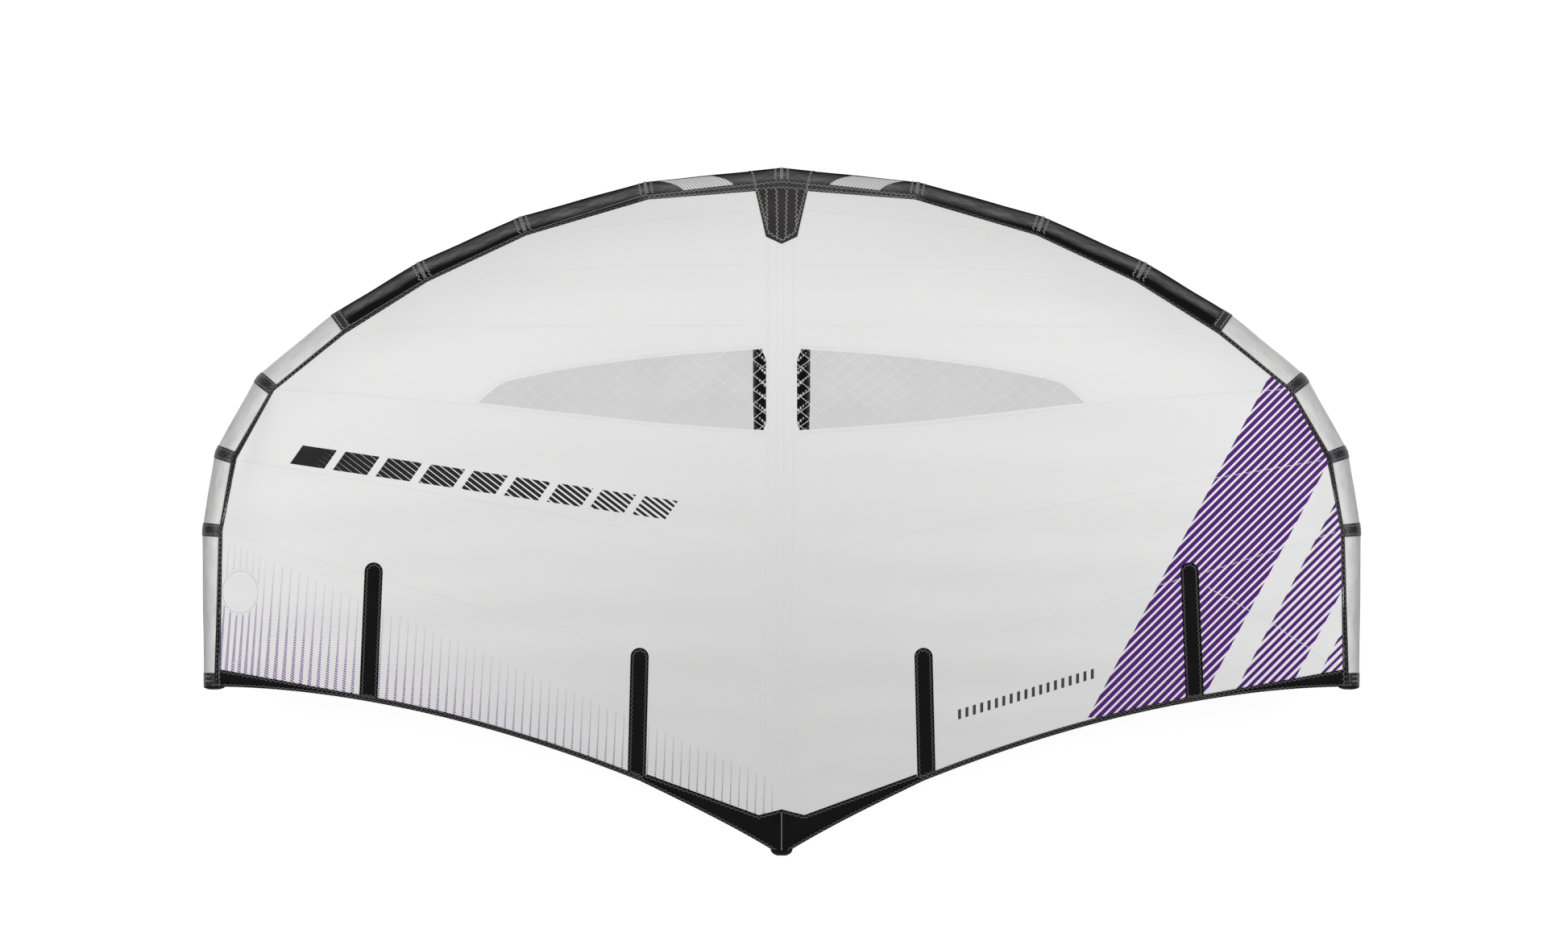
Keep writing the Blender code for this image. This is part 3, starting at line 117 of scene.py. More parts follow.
def mirror(points, side):
    """Points of the right half, in plan or in space, on either side."""
    points = np.asarray(points, float)
    return points * np.array([side, 1, 1])[:points.shape[-1]]


def lattice(rows, columns):
    """Row values and column values of a grid."""
    return np.meshgrid(rows, columns, indexing="ij")


def read_at(marks, along, rows):
    """Rows of numbers read off at marks along a path."""
    return np.stack([np.interp(marks, along, column) for column in rows.T], axis=-1)


def distances(path):
    """Distance along a path at each of its points."""
    return np.concatenate([[0], np.cumsum(np.linalg.norm(np.diff(path, axis=0), axis=1))])


def sideways(path):
    """Directions a quarter turn to the left of a path in plan."""
    run = unit(np.gradient(path, axis=0))
    return np.stack([-run[:, 1], run[:, 0]], axis=1)


def at_stations(values, place):
    """Value between stations."""
    return np.interp(place, STATIONS, values)


def cubic(a, b, c, d, t):
    """Smooth curve from b to c, with a before it and d after it."""
    bend, twist = 2 * a - 5 * b + 4 * c - d, 3 * b - a - 3 * c + d
    return 0.5 * (2 * b + (c - a) * t + bend * t ** 2 + twist * t ** 3)


def through_stations(values, place):
    """Smooth curve through the stations' values, mirrored before the first one."""
    i = np.clip(place.astype(int), 0, len(values) - 2)
    before = values[np.abs(i - 1)].copy()
    if values.shape[1] == 3:
        before[i == 0, 0] *= -1
    after = values[np.minimum(i + 2, len(values) - 1)]
    return cubic(before, values[i], values[i + 1], after, (place - i)[:, None])


def smooth_path(points, steps):
    """Smooth open curve through points."""
    padded = np.vstack([2 * points[0] - points[1], points, 2 * points[-1] - points[-2]])
    t = (np.arange(1, steps + 1) / steps)[:, None]
    return np.vstack([points[:1]] + [cubic(*padded[k:k + 4], t) for k in range(len(points) - 1)])


# Leading edge tube: centres, mitred outward directions and upright stretch at each station
CORNERS = np.stack([HALF_WIDTH * OUT_SHARES, FRONT - 2 * FRONT * BACK_SHARES, np.zeros(TIP + 1)], axis=1)
RUNS = unit(CORNERS[1:] - CORNERS[:-1])
NORMALS = np.stack([-RUNS[:, 1], RUNS[:, 0], np.zeros(TIP)], axis=1)
OUTWARD = np.vstack([[[0.0, 1.0, 0.0]], unit(NORMALS[:-1] + NORMALS[1:]), NORMALS[-1:]])
MITRES = 1 / np.sum(OUTWARD * NORMALS[np.minimum(STATIONS, TIP - 1)], axis=1)
MITRED = OUTWARD * MITRES[:, None]
CENTRES = CORNERS - MITRED * RADII[:, None]
CENTRES[:, 2] = TIP_RISE * (CENTRES[:, 0] / HALF_WIDTH) ** RISE_POWER
REACH = CENTRES[np.minimum(STATIONS + 1, TIP)] - CENTRES[np.maximum(STATIONS - 1, 0)]
STRETCH = np.linalg.norm(REACH, axis=1) / np.linalg.norm(REACH[:, :2], axis=1)
LENGTHS = np.linalg.norm(CENTRES[1:] - CENTRES[:-1], axis=1)
FIRST_OUT = CENTRES[1][0]
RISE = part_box("leading_edge_panel_right_1")[0][2] + TUBE_RADIUS * STRETCH[0]


def tube(place, angle, extra=0.0):
    """Points on the right tube and their outward directions: place in stations, angle up from outside."""
    place, angle, extra = np.broadcast_arrays(np.asarray(place, float), angle, extra)
    i = np.clip(place.astype(int), 0, TIP - 1)
    f = (place - i)[..., None]
    ends = []
    for k in (i, i + 1):
        way = MITRED[k] * np.cos(angle)[..., None] + UP * (np.sin(angle) * STRETCH[k])[..., None]
        ends.append((CENTRES[k] + way * (RADII[k] + extra)[..., None], way))
    point = mix(ends[0][0], ends[1][0], f) + UP * RISE
    return point, unit(mix(ends[0][1], ends[1][1], f))


def place_at(station, distance):
    """Place a distance past a station, or before it."""
    return station + distance / LENGTHS[min(station, TIP - 1) if distance >= 0 else station - 1]


SEAMS = tube(STATIONS, SEAM_ANGLES, TAPE_LIFT)[0] - UP * RISE - MITRED * EDGE_GAP
REAR_TIP = SEAMS[TIP]
REAR_KNEE = REAR_TIP[1] - REAR_KNEE_DROP


# Canopy surface

def rear_y(out):
    """Trailing edge: a bent curve from the tip to the knee, then a straight run to the strut."""
    out = np.minimum(np.abs(out), REAR_TIP[0])
    share = np.clip((REAR_TIP[0] - out) / (REAR_TIP[0] - REAR_KNEE_OUT), 0, 1)
    curve = REAR_TIP[1] - REAR_KNEE_DROP * share ** REAR_CURVE_POWER
    return np.where(out >= REAR_KNEE_OUT, curve, mix(REAR_END, REAR_KNEE, out / REAR_KNEE_OUT))


def rear_path(first, last, inset=0.0):
    """Trailing edge in plan between two distances out."""
    outs = np.linspace(first, last, max(3, int(abs(last - first) / 0.02)))
    return np.stack([outs, rear_y(outs) + inset], axis=1)


def ripples(x, y, v):
    """Small tension waves of the cloth."""
    calm = np.clip(v * 9, 0, 1) * np.clip((1 - v) * 12, 0, 1)
    wave = 0.0015 * np.sin(y * 36 + 0.9 * np.sin(x * 2.3) + 0.5)
    wave += 0.0013 * np.sin(y * 21 - 1.4 * np.sin(x * 1.7 + 1))
    wave += 0.0009 * np.sin(x * 13 + y * 9) + 0.0005 * np.sin(x * 31 - y * 17 + 2)
    return wave * calm * np.clip((np.abs(x) - 0.06) * 12, 0, 1)


def canopy(column, row, side):
    """Points of the canopy: column in stations, row from front edge to rear edge."""
    smoothed = ease(row / 0.22) * (column < SIDE)
    front = mix(read_at(column, STATIONS, SEAMS), through_stations(SEAMS, column), smoothed[:, None])
    start, bend, end = SEAMS[SIDE], SEAMS[SIDE + 1], REAR_TIP
    out = front[:, 0] * (1 + (end[0] / start[0] - 1) * (front[:, 0] / start[0]) ** 2)
    height = mix(REAR_CENTRE_HEIGHT, end[2], (np.maximum(out, 0) / end[0]) ** RISE_POWER)
    rear = np.stack([out, rear_y(out), height], axis=1)
    depth = through_stations(CAMBERS[:, None], column)[:, 0]
    rising = (2 * PEAK * row - row ** 2) / PEAK ** 2
    falling = (1 - 2 * PEAK + 2 * PEAK * row - row ** 2) / (1 - PEAK) ** 2
    point = mix(front, rear, row[:, None])
    point[:, 2] += depth * np.where(row < PEAK, rising, falling) * (front[:, 1] - rear[:, 1]) + RISE
    near = mix(start, bend, (row / SIDE_KNEE)[:, None])
    far = mix(bend, end, ((row - SIDE_KNEE) / (1 - SIDE_KNEE))[:, None])
    real = np.where((row < SIDE_KNEE)[:, None], near, far)
    point += (real - mix(start, end, row[:, None])) * ((column / SIDE) ** 4)[:, None]
    point[:, 0] *= side
    point[:, 2] += ripples(point[:, 0], point[:, 1], row)
    return point


def grid_faces(wide, deep, closed=False):
    """Quads of a grid of points, wide rows of deep points."""
    faces = []
    for i in range(wide - 1):
        for j in range(deep if closed else deep - 1):
            k = (j + 1) % deep
            faces.append((i * deep + j, (i + 1) * deep + j, (i + 1) * deep + k, i * deep + k))
    return faces


def master_surface():
    """Search tree over both halves of the canopy, carried on a little past its edges."""
    front_margin, rear_margin = 0.012, 0.026
    columns, rows = lattice(np.linspace(0, SIDE, 97), np.linspace(0, 1, 121) ** 1.12)
    points, faces = [], []
    for _, side in SIDES:
        grid = canopy(columns.ravel(), rows.ravel(), side).reshape(*columns.shape, 3)
        front = grid[:, 0] + unit(grid[:, 0] - grid[:, 1]) * front_margin
        rear = grid[:, -1] + unit(grid[:, -1] - grid[:, -2]) * rear_margin
        grid = np.concatenate([front[:, None], grid, rear[:, None]], axis=1)
        outer = grid[-1] + unit(grid[-1] - grid[-3]) * front_margin
        grid = np.concatenate([grid, outer[None]], axis=0)
        base = len(points) * grid.shape[0] * grid.shape[1]
        points.append(grid.reshape(-1, 3))
        faces += [tuple(base + k for k in quad) for quad in grid_faces(*grid.shape[:2])]
    return BVHTree.FromPolygons([Vector(p) for p in np.vstack(points)], faces)


SURFACE = master_surface()


def on_cloth(places, lift=0.0):
    """Points on the canopy over places in plan, and the cloth's upward directions.

    A place past the edge takes its height from the nearest cloth on the way to the centre.
    """
    points, ways = [], []
    for x, y in places:
        far = max(sqrt(x * x + y * y), 0.01)
        for k in range(60):
            near = 1 - 0.0012 * k / far
            hit, normal, _, _ = SURFACE.ray_cast(Vector((x * near, y * near, 4.0)), Vector((0, 0, -1)))
            if hit is not None:
                break
        points.append((x, y, hit.z))
        ways.append(tuple(normal if normal.z > 0 else -normal))
    ways = np.array(ways).reshape(-1, 3)
    return np.array(points).reshape(-1, 3) + ways * lift, ways


# Meshes

def add_mesh(name, points, faces, finish, uvs=None, stands_for=None, body="wing", smooth=True):
    """Piece from points and faces, riding on a body; it may stand for a node."""
    mesh = bpy.data.meshes.new(name)
    mesh.from_pydata([tuple(map(float, p)) for p in points], [], [tuple(map(int, f)) for f in faces])
    if uvs is not None:
        layer = mesh.uv_layers.new(name="UVMap")
        loops = np.zeros(len(mesh.loops), dtype=np.int32)
        mesh.loops.foreach_get("vertex_index", loops)
        layer.data.foreach_set("uv", np.asarray(uvs, dtype=np.float32)[loops].ravel())
    material, slot = FINISHES[finish]
    mesh.materials.append(material)
    if smooth:
        mesh.shade_smooth()
    item = bpy.data.objects.new(name, mesh)
    SCENE.collection.objects.link(item)
    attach(item, body)
    if stands_for:
        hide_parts(stands_for)
    return item


def add_grid(name, points, finish, uvs=None, side=1, turn=1, closed=False, **more):
    """Piece from a grid of points of the right half; its faces are turned over where turn is -1."""
    faces = grid_faces(*points.shape[:2], closed)
    if side * turn < 0:
        faces = [face[::-1] for face in faces]
    if uvs is not None:
        uvs = np.stack(np.broadcast_arrays(*uvs), axis=-1).reshape(-1, 2)
    return add_mesh(name, mirror(points, side).reshape(-1, 3), faces, finish, uvs, **more)


def dome(ring, hub, push, steps, narrowing):
    """Grid of a rounded end, from a ring in to its hub, pushed outward."""
    rings = []
    for share in np.sin(np.linspace(0, pi / 2, steps)):
        rings.append(hub + (ring - hub) * sqrt(1 - share * share * narrowing) + push * share)
    return np.stack(rings + [np.broadcast_to(hub + push, ring.shape)])


def resample(path, step):
    """Open path in plan with a point at least every step, corners kept."""
    path = np.asarray(path, float)
    points = [path[:1]]
    for a, b in zip(path, path[1:]):
        count = max(1, int(np.ceil(np.linalg.norm(b - a) / step)))
        points.append(mix(a, b, (np.arange(1, count + 1) / count)[:, None]))
    return np.vstack(points)


def inside(polygon, points):
    """Which points lie in a polygon."""
    x, y = points[:, 0], points[:, 1]
    result = np.zeros(len(points), bool)
    for (x0, y0), (x1, y1) in zip(polygon, np.roll(polygon, -1, axis=0)):
        level = y1 - y0 if y1 != y0 else 1.0
        result ^= ((y0 > y) != (y1 > y)) & (x < (x1 - x0) * (y - y0) / level + x0)
    return result


def clearance(polygon, points):
    """Distance from points to a polygon's outline."""
    best = np.full(len(points), np.inf)
    for a, b in zip(polygon, np.roll(polygon, -1, axis=0)):
        run = b - a
        t = np.clip(((points - a) @ run) / max(run @ run, 1e-12), 0, 1)
        best = np.minimum(best, np.linalg.norm(points - a - t[:, None] * run, axis=1))
    return best


def fill(outline, step):
    """Triangles inside an outline in plan, without slivers."""
    loop = resample(np.vstack([outline, outline[:1]]), step)[:-1]
    low, high = loop.min(axis=0), loop.max(axis=0)
    xs = np.arange(low[0] + step / 2, high[0], step)
    ys = np.arange(low[1] + step / 2, high[1], step)
    inner = np.stack(lattice(xs, ys), axis=-1).reshape(-1, 2)
    inner = inner[inside(loop, inner) & (clearance(loop, inner) > step * 0.45)]
    edges = [(k, (k + 1) % len(loop)) for k in range(len(loop))]
    found = delaunay_2d_cdt([Vector(p) for p in np.vstack([loop, inner])], edges, [], 0, 1e-7)
    points, faces = np.array([tuple(p) for p in found[0]]), np.array(found[2])
    faces = faces[inside(loop, points[faces].mean(axis=1))]
    a, b, c = (points[faces[:, k]] for k in range(3))
    turn = (b[:, 0] - a[:, 0]) * (c[:, 1] - a[:, 1]) - (b[:, 1] - a[:, 1]) * (c[:, 0] - a[:, 0])
    longest = np.max([np.linalg.norm(edge, axis=1) for edge in (b - a, c - b, a - c)], axis=0)
    faces[turn < 0] = faces[turn < 0][:, ::-1]
    faces = faces[np.abs(turn) / longest > 0.0004]
    used = np.unique(faces)
    order = np.zeros(len(points), int)
    order[used] = np.arange(len(used))
    return points[used], order[faces]


def lay(name, outline, step, lift, finish, hem=0.0, **more):
    """Sewn piece laid on the canopy; its edge comes down by the hem."""
    outline = np.asarray(outline, float)
    places, faces = fill(outline, step)
    rise = lift - hem * (clearance(outline, places) < step * 0.1)
    points, ways = on_cloth(places)
    return add_mesh(name, points + ways * rise[:, None], faces, finish, places, **more)


def ribbon(name, path, width, lift, finish):
    """Narrow band laid on the canopy along a path in plan."""
    path = resample(path, 0.02)
    across = sideways(path)
    profile = ((-0.5, 0.1), (-0.36, 1.0), (0.0, 1.1), (0.36, 1.0), (0.5, 0.1))
    rows = [on_cloth(path + across * width * share, lift * rise)[0] for share, rise in profile]
    grid = np.stack(rows, axis=1)
    add_grid(name, grid, finish, uvs=(grid[..., 0], grid[..., 1]), turn=-1)


# Thread: every stitch is a short ridge, gathered in one piece per thread and place
THREADS = {}
ZIGZAG = ((0.0, -1), (0.16, -1), (0.5, 1), (0.66, 1))

# Width of the zigzag and length of its repeat, then width and height of the thread
STITCHES = {
    "seam": (0.0060, 0.0172, 0.0022, 0.0006),
    "cross": (0.0092, 0.0210, 0.0022, 0.0006),
    "band": (0.0046, 0.0150, 0.0022, 0.0006),
    "tip": (0.0042, 0.0130, 0.0022, 0.0006),
    "tape_nose": (0.0058, 0.0172, 0.0017, 0.0006),
    "tape_inner": (0.0050, 0.0205, 0.0017, 0.0006),
    "tape_outer": (0.0048, 0.0172, 0.0017, 0.0006),
    "window": (0.0045, 0.0160, 0.0022, 0.0003),
    "strip": (0.0040, 0.0180, 0.0015, 0.0002),
    "panel": (0.0040, 0.0190, 0.0015, 0.0003),
    "side_panel": (0.0030, 0.0190, 0.0015, 0.0003),
    "rear": (0.0040, 0.0172, 0.0022, 0.0006),
    "rear_patch": (0.0044, 0.0172, 0.0022, 0.0006),
    "nose": (0.0060, 0.0165, 0.0022, 0.0006),
    "pocket": (0.0046, 0.0165, 0.0022, 0.0006),
    "strut": (0.0046, 0.0172, 0.0022, 0.0006),
    "foot": (0.0034, 0.0080, 0.0012, 0.0004),
    "nose_foot": (0.0034, 0.0080, 0.0012, 0.0006),
    "webbing": (0.0016, 0.0060, 0.0008, 0.0003),
}


def stitch(key, pattern, points, ways, flip=1):
    """Zigzag stitches along a path with its surface directions."""
    wide, period, width, height = STITCHES[pattern]
    along = distances(points)
    count = max(1, int(round(along[-1] / period)))
    period = along[-1] / count
    marks = [(k + phase) * period for k in range(count) for phase, _ in ZIGZAG] + [along[-1]]
    offs = np.array([off for _, off in ZIGZAG] * count + [-1]) * flip
    middle, up = read_at(marks, along, points), unit(read_at(marks, along, ways))
    side = unit(np.cross(up, np.gradient(middle, axis=0)))
    ridge = middle + side * (offs * wide / 2)[:, None]
    places, faces = THREADS.setdefault(key, ([], []))
    for k in range(len(ridge) - 1):
        a, b = ridge[k], ridge[k + 1]
        size = np.linalg.norm(b - a)
        if size < 1e-6:
            continue
        run = (b - a) / size
        across = np.cross(up[k], run) * width / 2
        a, b = a - run * width * 0.3, b + run * width * 0.3
        base = len(places)
        places += [a - across, a + up[k] * height, a + across]
        places += [b - across, b + up[k + 1] * height, b + across]
        faces += [(base, base + 1, base + 4, base + 3), (base + 1, base + 2, base + 5, base + 4)]


def sew(key, pattern, path, lift, flip=1):
    """Zigzag along a path in plan, on the canopy."""
    stitch(key, pattern, *on_cloth(resample(path, 0.02), lift), flip)


def sew_tube(key, pattern, side, place, angles, lift, flip=1):
    """Zigzag round the tube."""
    points, ways = tube(place, angles, lift)
    stitch(key, pattern, mirror(points, side), mirror(ways, side), flip)


def cross_tube(side, place, angles, lift):
    """Two crossing zigzags round the tube."""
    sew_tube("tube_light", "cross", side, place, angles, lift)
    sew_tube("tube_light", "cross", side, place, angles, lift + 0.0002, -1)


# Finishes: a small helper writes node expressions

def new_node(tree, kind, **values):
    """Shader node with values on its sockets."""
    node = tree.nodes.new("ShaderNode" + kind)
    for name, value in values.items():
        node.inputs[name].default_value = value
    return node


class Value:
    """Number from a node, with arithmetic."""

    def __init__(self, tree, socket):
        self.tree, self.socket = tree, socket

    def use(self, operation, *others, clamp=False):
        """Math node of this number and others."""
        node = self.tree.nodes.new("ShaderNodeMath")
        node.operation = operation
        node.use_clamp = clamp
        for slot, item in zip(node.inputs, (self, *others)):
            if isinstance(item, Value):
                self.tree.links.new(item.socket, slot)
            else:
                slot.default_value = float(item)
        return Value(self.tree, node.outputs[0])

    __add__ = partialmethod(use, "ADD")
    __sub__ = partialmethod(use, "SUBTRACT")
    __mul__ = partialmethod(use, "MULTIPLY")
    __truediv__ = partialmethod(use, "DIVIDE")
    fract = partialmethod(use, "FRACT")
    size = partialmethod(use, "ABSOLUTE")
    under = partialmethod(use, "LESS_THAN")
    over = partialmethod(use, "GREATER_THAN")
    most = partialmethod(use, "MAXIMUM")
    least = partialmethod(use, "MINIMUM")

    def between(self, low, high):
        """1 between two values."""
        return self.over(low) * self.under(high)

    def ramp(self, low, high):
        """0 at low and 1 at high."""
        return (self - low).use("DIVIDE", high - low, clamp=True)


class Finish:
    """Principled material with its coordinates and layers."""

    def __init__(self, name, colour, roughness, metallic=0.0, specular=0.5, source="UV"):
        self.material = bpy.data.materials.new(name)
        self.material.use_nodes = True
        self.tree = self.material.node_tree
        self.shader = self.tree.nodes["Principled BSDF"]
        self.shader.inputs["Base Color"].default_value = (*colour, 1)
        self.shader.inputs["Roughness"].default_value = roughness
        self.shader.inputs["Metallic"].default_value = metallic
        self.shader.inputs["Specular IOR Level"].default_value = specular
        self.colour = None
        self.plain = colour
        self.where = self.coordinate(source)
        self.x, self.y, self.z = self.split(self.where)

    def coordinate(self, name):
        """Texture coordinate by its name."""
        return self.tree.nodes.new("ShaderNodeTexCoord").outputs[name]

    def split(self, vector):
        """The three numbers of a vector."""
        node = self.tree.nodes.new("ShaderNodeSeparateXYZ")
        self.tree.links.new(vector, node.inputs[0])
        return [Value(self.tree, output) for output in node.outputs]

    def paint(self, mask, colour, share=1.0):
        """Mix a colour in where a mask says."""
        node = self.tree.nodes.new("ShaderNodeMix")
        node.data_type = "RGBA"
        mask = mask * share if share != 1.0 else mask
        self.tree.links.new(mask.socket, node.inputs["Factor"])
        below, above = [socket for socket in node.inputs if socket.type == "RGBA"]
        if self.colour is None:
            below.default_value = (*self.plain, 1)
        else:
            self.tree.links.new(self.colour, below)
        above.default_value = (*colour, 1)
        self.colour = [socket for socket in node.outputs if socket.type == "RGBA"][0]
        self.tree.links.new(self.colour, self.shader.inputs["Base Color"])

    def noise(self, scale, detail=3.0, stretch=(1, 1, 1), turn=0.0):
        """Noise value."""
        mapping = new_node(self.tree, "Mapping", Scale=stretch, Rotation=(0, 0, turn))
        node = new_node(self.tree, "TexNoise", Scale=scale, Detail=detail)
        self.tree.links.new(self.where, mapping.inputs[0])
        self.tree.links.new(mapping.outputs[0], node.inputs["Vector"])
        return Value(self.tree, node.outputs[0])

    def drive(self, name, value):
        """Input of the shader from a value."""
        self.tree.links.new(value.socket, self.shader.inputs[name])

    def bump(self, value, depth, strength=1.0):
        """Relief from a value, in metres."""
        node = new_node(self.tree, "Bump", Distance=depth, Strength=strength)
        self.tree.links.new(value.socket, node.inputs["Height"])
        self.tree.links.new(node.outputs[0], self.shader.inputs["Normal"])


def grey(level):
    """Neutral colour."""
    return (level, level, level)


def lines(value, pitch, share):
    """1 on lines a pitch apart that take up a share of it."""
    return (value / pitch).fract().under(share)


def crossed(first, second, pitch, share):
    """1 on two sets of lines that cross."""
    return lines(first, pitch, share).most(lines(second, pitch, share))


PURPLE = (0.125, 0.012, 0.255)
DEEP_PURPLE = (0.074, 0.002, 0.172)
# Darker purple for the dashes towards the centre: painted shade.
PURPLE_IN_PAINTED_SHADE = (0.030, 0.012, 0.045)
INK = (0.008, 0.008, 0.009)


def print_dashes(cloth):
    """Rows of dashes that grow towards the trailing edge, round a plain ring on the left, darkened towards
    the centre as painted shade.
    """
    x, y = cloth.x, cloth.y
    bend, crowding, row_pitch = 0.96, 0.735, 0.00814
    column = (y * (x * 0.1813 + 1.092) + x * 0.6429 + 36.165) * x - y * 1.0958 + 60.034
    close = (column + bend) / crowding
    place = (column + (close - column) * column.under(-bend) + 0.5).fract() - 0.5
    top = x * -0.4396 - 0.925
    grow = (top - y).ramp(0.0, 0.42)
    half = (grow * 0.14 + 0.075) * grow + 0.044
    rows = ((y + place * 0.0176) / row_pitch).fract()
    ring_x, ring_y = (x + 1.841) / 0.060, (y + 0.273) / 0.072
    ring = (ring_x * ring_x + ring_y * ring_y).use("SQRT")
    dash = place.size().under(half) * rows.under(grow * 0.15 + 0.40)
    dash = dash * y.under(top) * x.under(-0.030) * ring.over(1.08)
    cloth.paint(dash * (grow * 1.15 + 0.36).least(1.0), PURPLE)
    # Painted shade: the dashes darken towards the centre.
    cloth.paint(dash * x.ramp(-1.0, -0.5) * (grow * 0.9 + 0.35).least(1.0), PURPLE_IN_PAINTED_SHADE)
    cloth.paint((ring - 1.0).size().under(0.016), grey(0.42), 0.7)


def print_bands(cloth):
    """Three slanting hatched bands on the right."""
    x, y = cloth.x, cloth.y
    across = (x - 1.095) * 0.883 - (y + 0.600) * 0.469
    hatch = ((x - y) * 0.7071 / 0.0208).fract()
    first, second, third = (
        across.between(low, high) * hatch.under(share)
        for low, high, share in ((0.0, 0.315, 0.66), (0.400, 0.560, 0.56), (0.625, 0.700, 0.46))
    )
    lower = (y + x * 0.34).over(-0.085)
    bands = first.most(second).most(third) * x.over(1.02) * y.over(-0.70) * lower.most(x.over(0))
    cloth.paint(bands, DEEP_PURPLE)


def print_blocks(cloth):
    """A row of slanting hatched blocks on the left, and a row of short bars on the right."""
    x, y = cloth.x, cloth.y
    left, level, pitch = 1.650, 0.195, 0.147
    s = (x + left) * 0.989 - (y - level) * 0.147
    t = (x + left) * 0.147 + (y - level) * 0.989
    slant = s - t * 0.50
    block = (slant / pitch).fract().under(0.80) * slant.over(0.0) * slant.under(1.29) * t.size().under(0.034)
    rule = ((s * 0.55 + t) / 0.0190).fract().under(slant * -0.40 + 1.03)
    cloth.paint(block * rule, INK)
    right, level, pitch = 0.600, 0.690, 0.0262
    s = (x - right) * 0.957 + (y + level) * 0.290
    t = (y + level) * 0.957 - (x - right) * 0.290
    slant = s - t * 0.30
    bars = (slant / pitch).fract().under(0.42) * slant.over(0.0) * slant.under(0.496) * t.size().under(0.016)
    cloth.paint(bars, INK, 0.95)


def canopy_cloth():
    """White ripstop with its printed patterns, darkened towards the centre and the rear as painted shade, in
    plan coordinates.
    """
    cloth = Finish("canopy_cloth", (0.80, 0.80, 0.797), 0.55, specular=0.25, source="Object")
    x, y = cloth.x, cloth.y
    ripstop = crossed(x, y, 0.0070, 0.16)
    # Painted shade: the cloth's colour darkens towards the centre and towards the rear.
    shade = (x.size() * -0.62 + 1.0).ramp(0.0, 1.0) * (y * -0.75 + 0.55).ramp(0.0, 1.0)
    cloth.paint(shade, (0.665, 0.665, 0.663))
    soft = cloth.noise(2.2, 2, (0.35, 1.6, 1))
    cloth.paint(soft.ramp(0.30, 0.75), (0.745, 0.745, 0.744), 0.35)
    cloth.paint(ripstop, grey(0.67), 0.22)
    cloth.bump(ripstop * 0.6 + cloth.noise(160, 2) * 0.5, 0.00016, 0.5)
    print_dashes(cloth)
    print_bands(cloth)
    print_blocks(cloth)
    return cloth.material


def black_cloth_with_painted_sheen(name="black_cloth_with_painted_sheen", level=1.0):
    """Black tube cloth with a painted sheen, a lighter band of colour on its shoulder, and a laid scrim;
    level scales the painted sheen.
    """
    cloth = Finish(name, (0.0085, 0.0085, 0.0088), 0.55, specular=0.0)
    u, v = cloth.x, cloth.y
    tilt = cloth.split(cloth.coordinate("Normal"))[2]
    # Painted sheen: lighter colour where the cloth's normal faces part way up.
    painted_sheen = tilt.ramp(0.20, 0.58) * (tilt * -1.0).ramp(-0.80, -0.66)
    mottled = cloth.noise(26, 4, (0.5, 1.4, 1))
    cloth.paint(painted_sheen * (mottled * 1.5 + 0.10), (0.150 * level, 0.150 * level, 0.151 * level))
    scrim = crossed(u * 0.5 + v, u * 0.5 - v, 0.031, 0.055)
    cloth.paint(scrim, grey(0.006), 0.6)
    cloth.drive("Roughness", mottled * 0.20 + 0.44)
    cloth.bump(scrim * 0.8 + mottled * 1.2, 0.00045, 0.6)
    return cloth.material


def white_tube_cloth():
    """Off-white laminated tube cloth, crinkled, with a few long fibres."""
    cloth = Finish("white_tube_cloth", (0.72, 0.72, 0.715), 0.42, specular=0.3)
    u, v = cloth.x, cloth.y
    crease = cloth.noise(34, 5, (0.35, 1.3, 1), 0.5)
    cloth.paint(crease.ramp(0.42, 0.72), (0.58, 0.58, 0.585), 0.8)
    rising = lines(u + v * 1.15 + crease * 0.02, 0.083, 0.028)
    fibre = rising.most(lines(u - v * 0.8 + crease * 0.03, 0.131, 0.018))
    cloth.paint(fibre, (0.40, 0.40, 0.41), 0.22)
    cloth.drive("Roughness", crease * 0.3 + 0.26)
    cloth.bump(crease * 1.5 - fibre * 0.1, 0.0009, 0.6)
    return cloth.material


def band_cloth():
    """Blue-black reinforcing band with wet-looking streaks."""
    cloth = Finish("band_cloth", (0.013, 0.013, 0.019), 0.36, specular=0.4)
    streak = cloth.noise(150, 4, (2.0, 0.4, 1))
    cloth.paint(streak.ramp(0.50, 0.72), (0.13, 0.13, 0.16), 0.75)
    cloth.drive("Roughness", streak * 0.3 + 0.2)
    cloth.bump(streak, 0.0005, 0.5)
    return cloth.material


def black_patch(name="black_patch", level=1.0):
    """Charcoal sail cloth, closely woven; the tapes' lighter one is dark past the nose."""
    cloth = Finish(name, (0.030 * level, 0.028 * level, 0.028 * level), 0.62, specular=0.12)
    weave = lines(cloth.x, 0.0016, 0.5) * 0.5 + lines(cloth.y, 0.0016, 0.5) * 0.5
    tone = cloth.noise(9, 3)
    cloth.paint(tone.ramp(0.35, 0.7), (0.044 * level, 0.041 * level, 0.041 * level), 0.8)
    cloth.bump(weave + tone, 0.00012, 0.5)
    if level > 1.0:
        cloth.paint(cloth.x.ramp(0.47, 0.50), (0.0110, 0.0105, 0.0108))
    return cloth.material


def webbing():
    """Black woven tape."""
    cloth = Finish("webbing", (0.0032, 0.0028, 0.0030), 0.68, specular=0.10)
    rib = lines(cloth.x + cloth.y, 0.0028, 0.5).most(lines(cloth.x - cloth.y, 0.0028, 0.5) * 0.5)
    cloth.paint(cloth.noise(14, 3).ramp(0.35, 0.75), (0.0060, 0.0052, 0.0054), 0.9)
    cloth.bump(rib, 0.00022, 0.6)
    return cloth.material


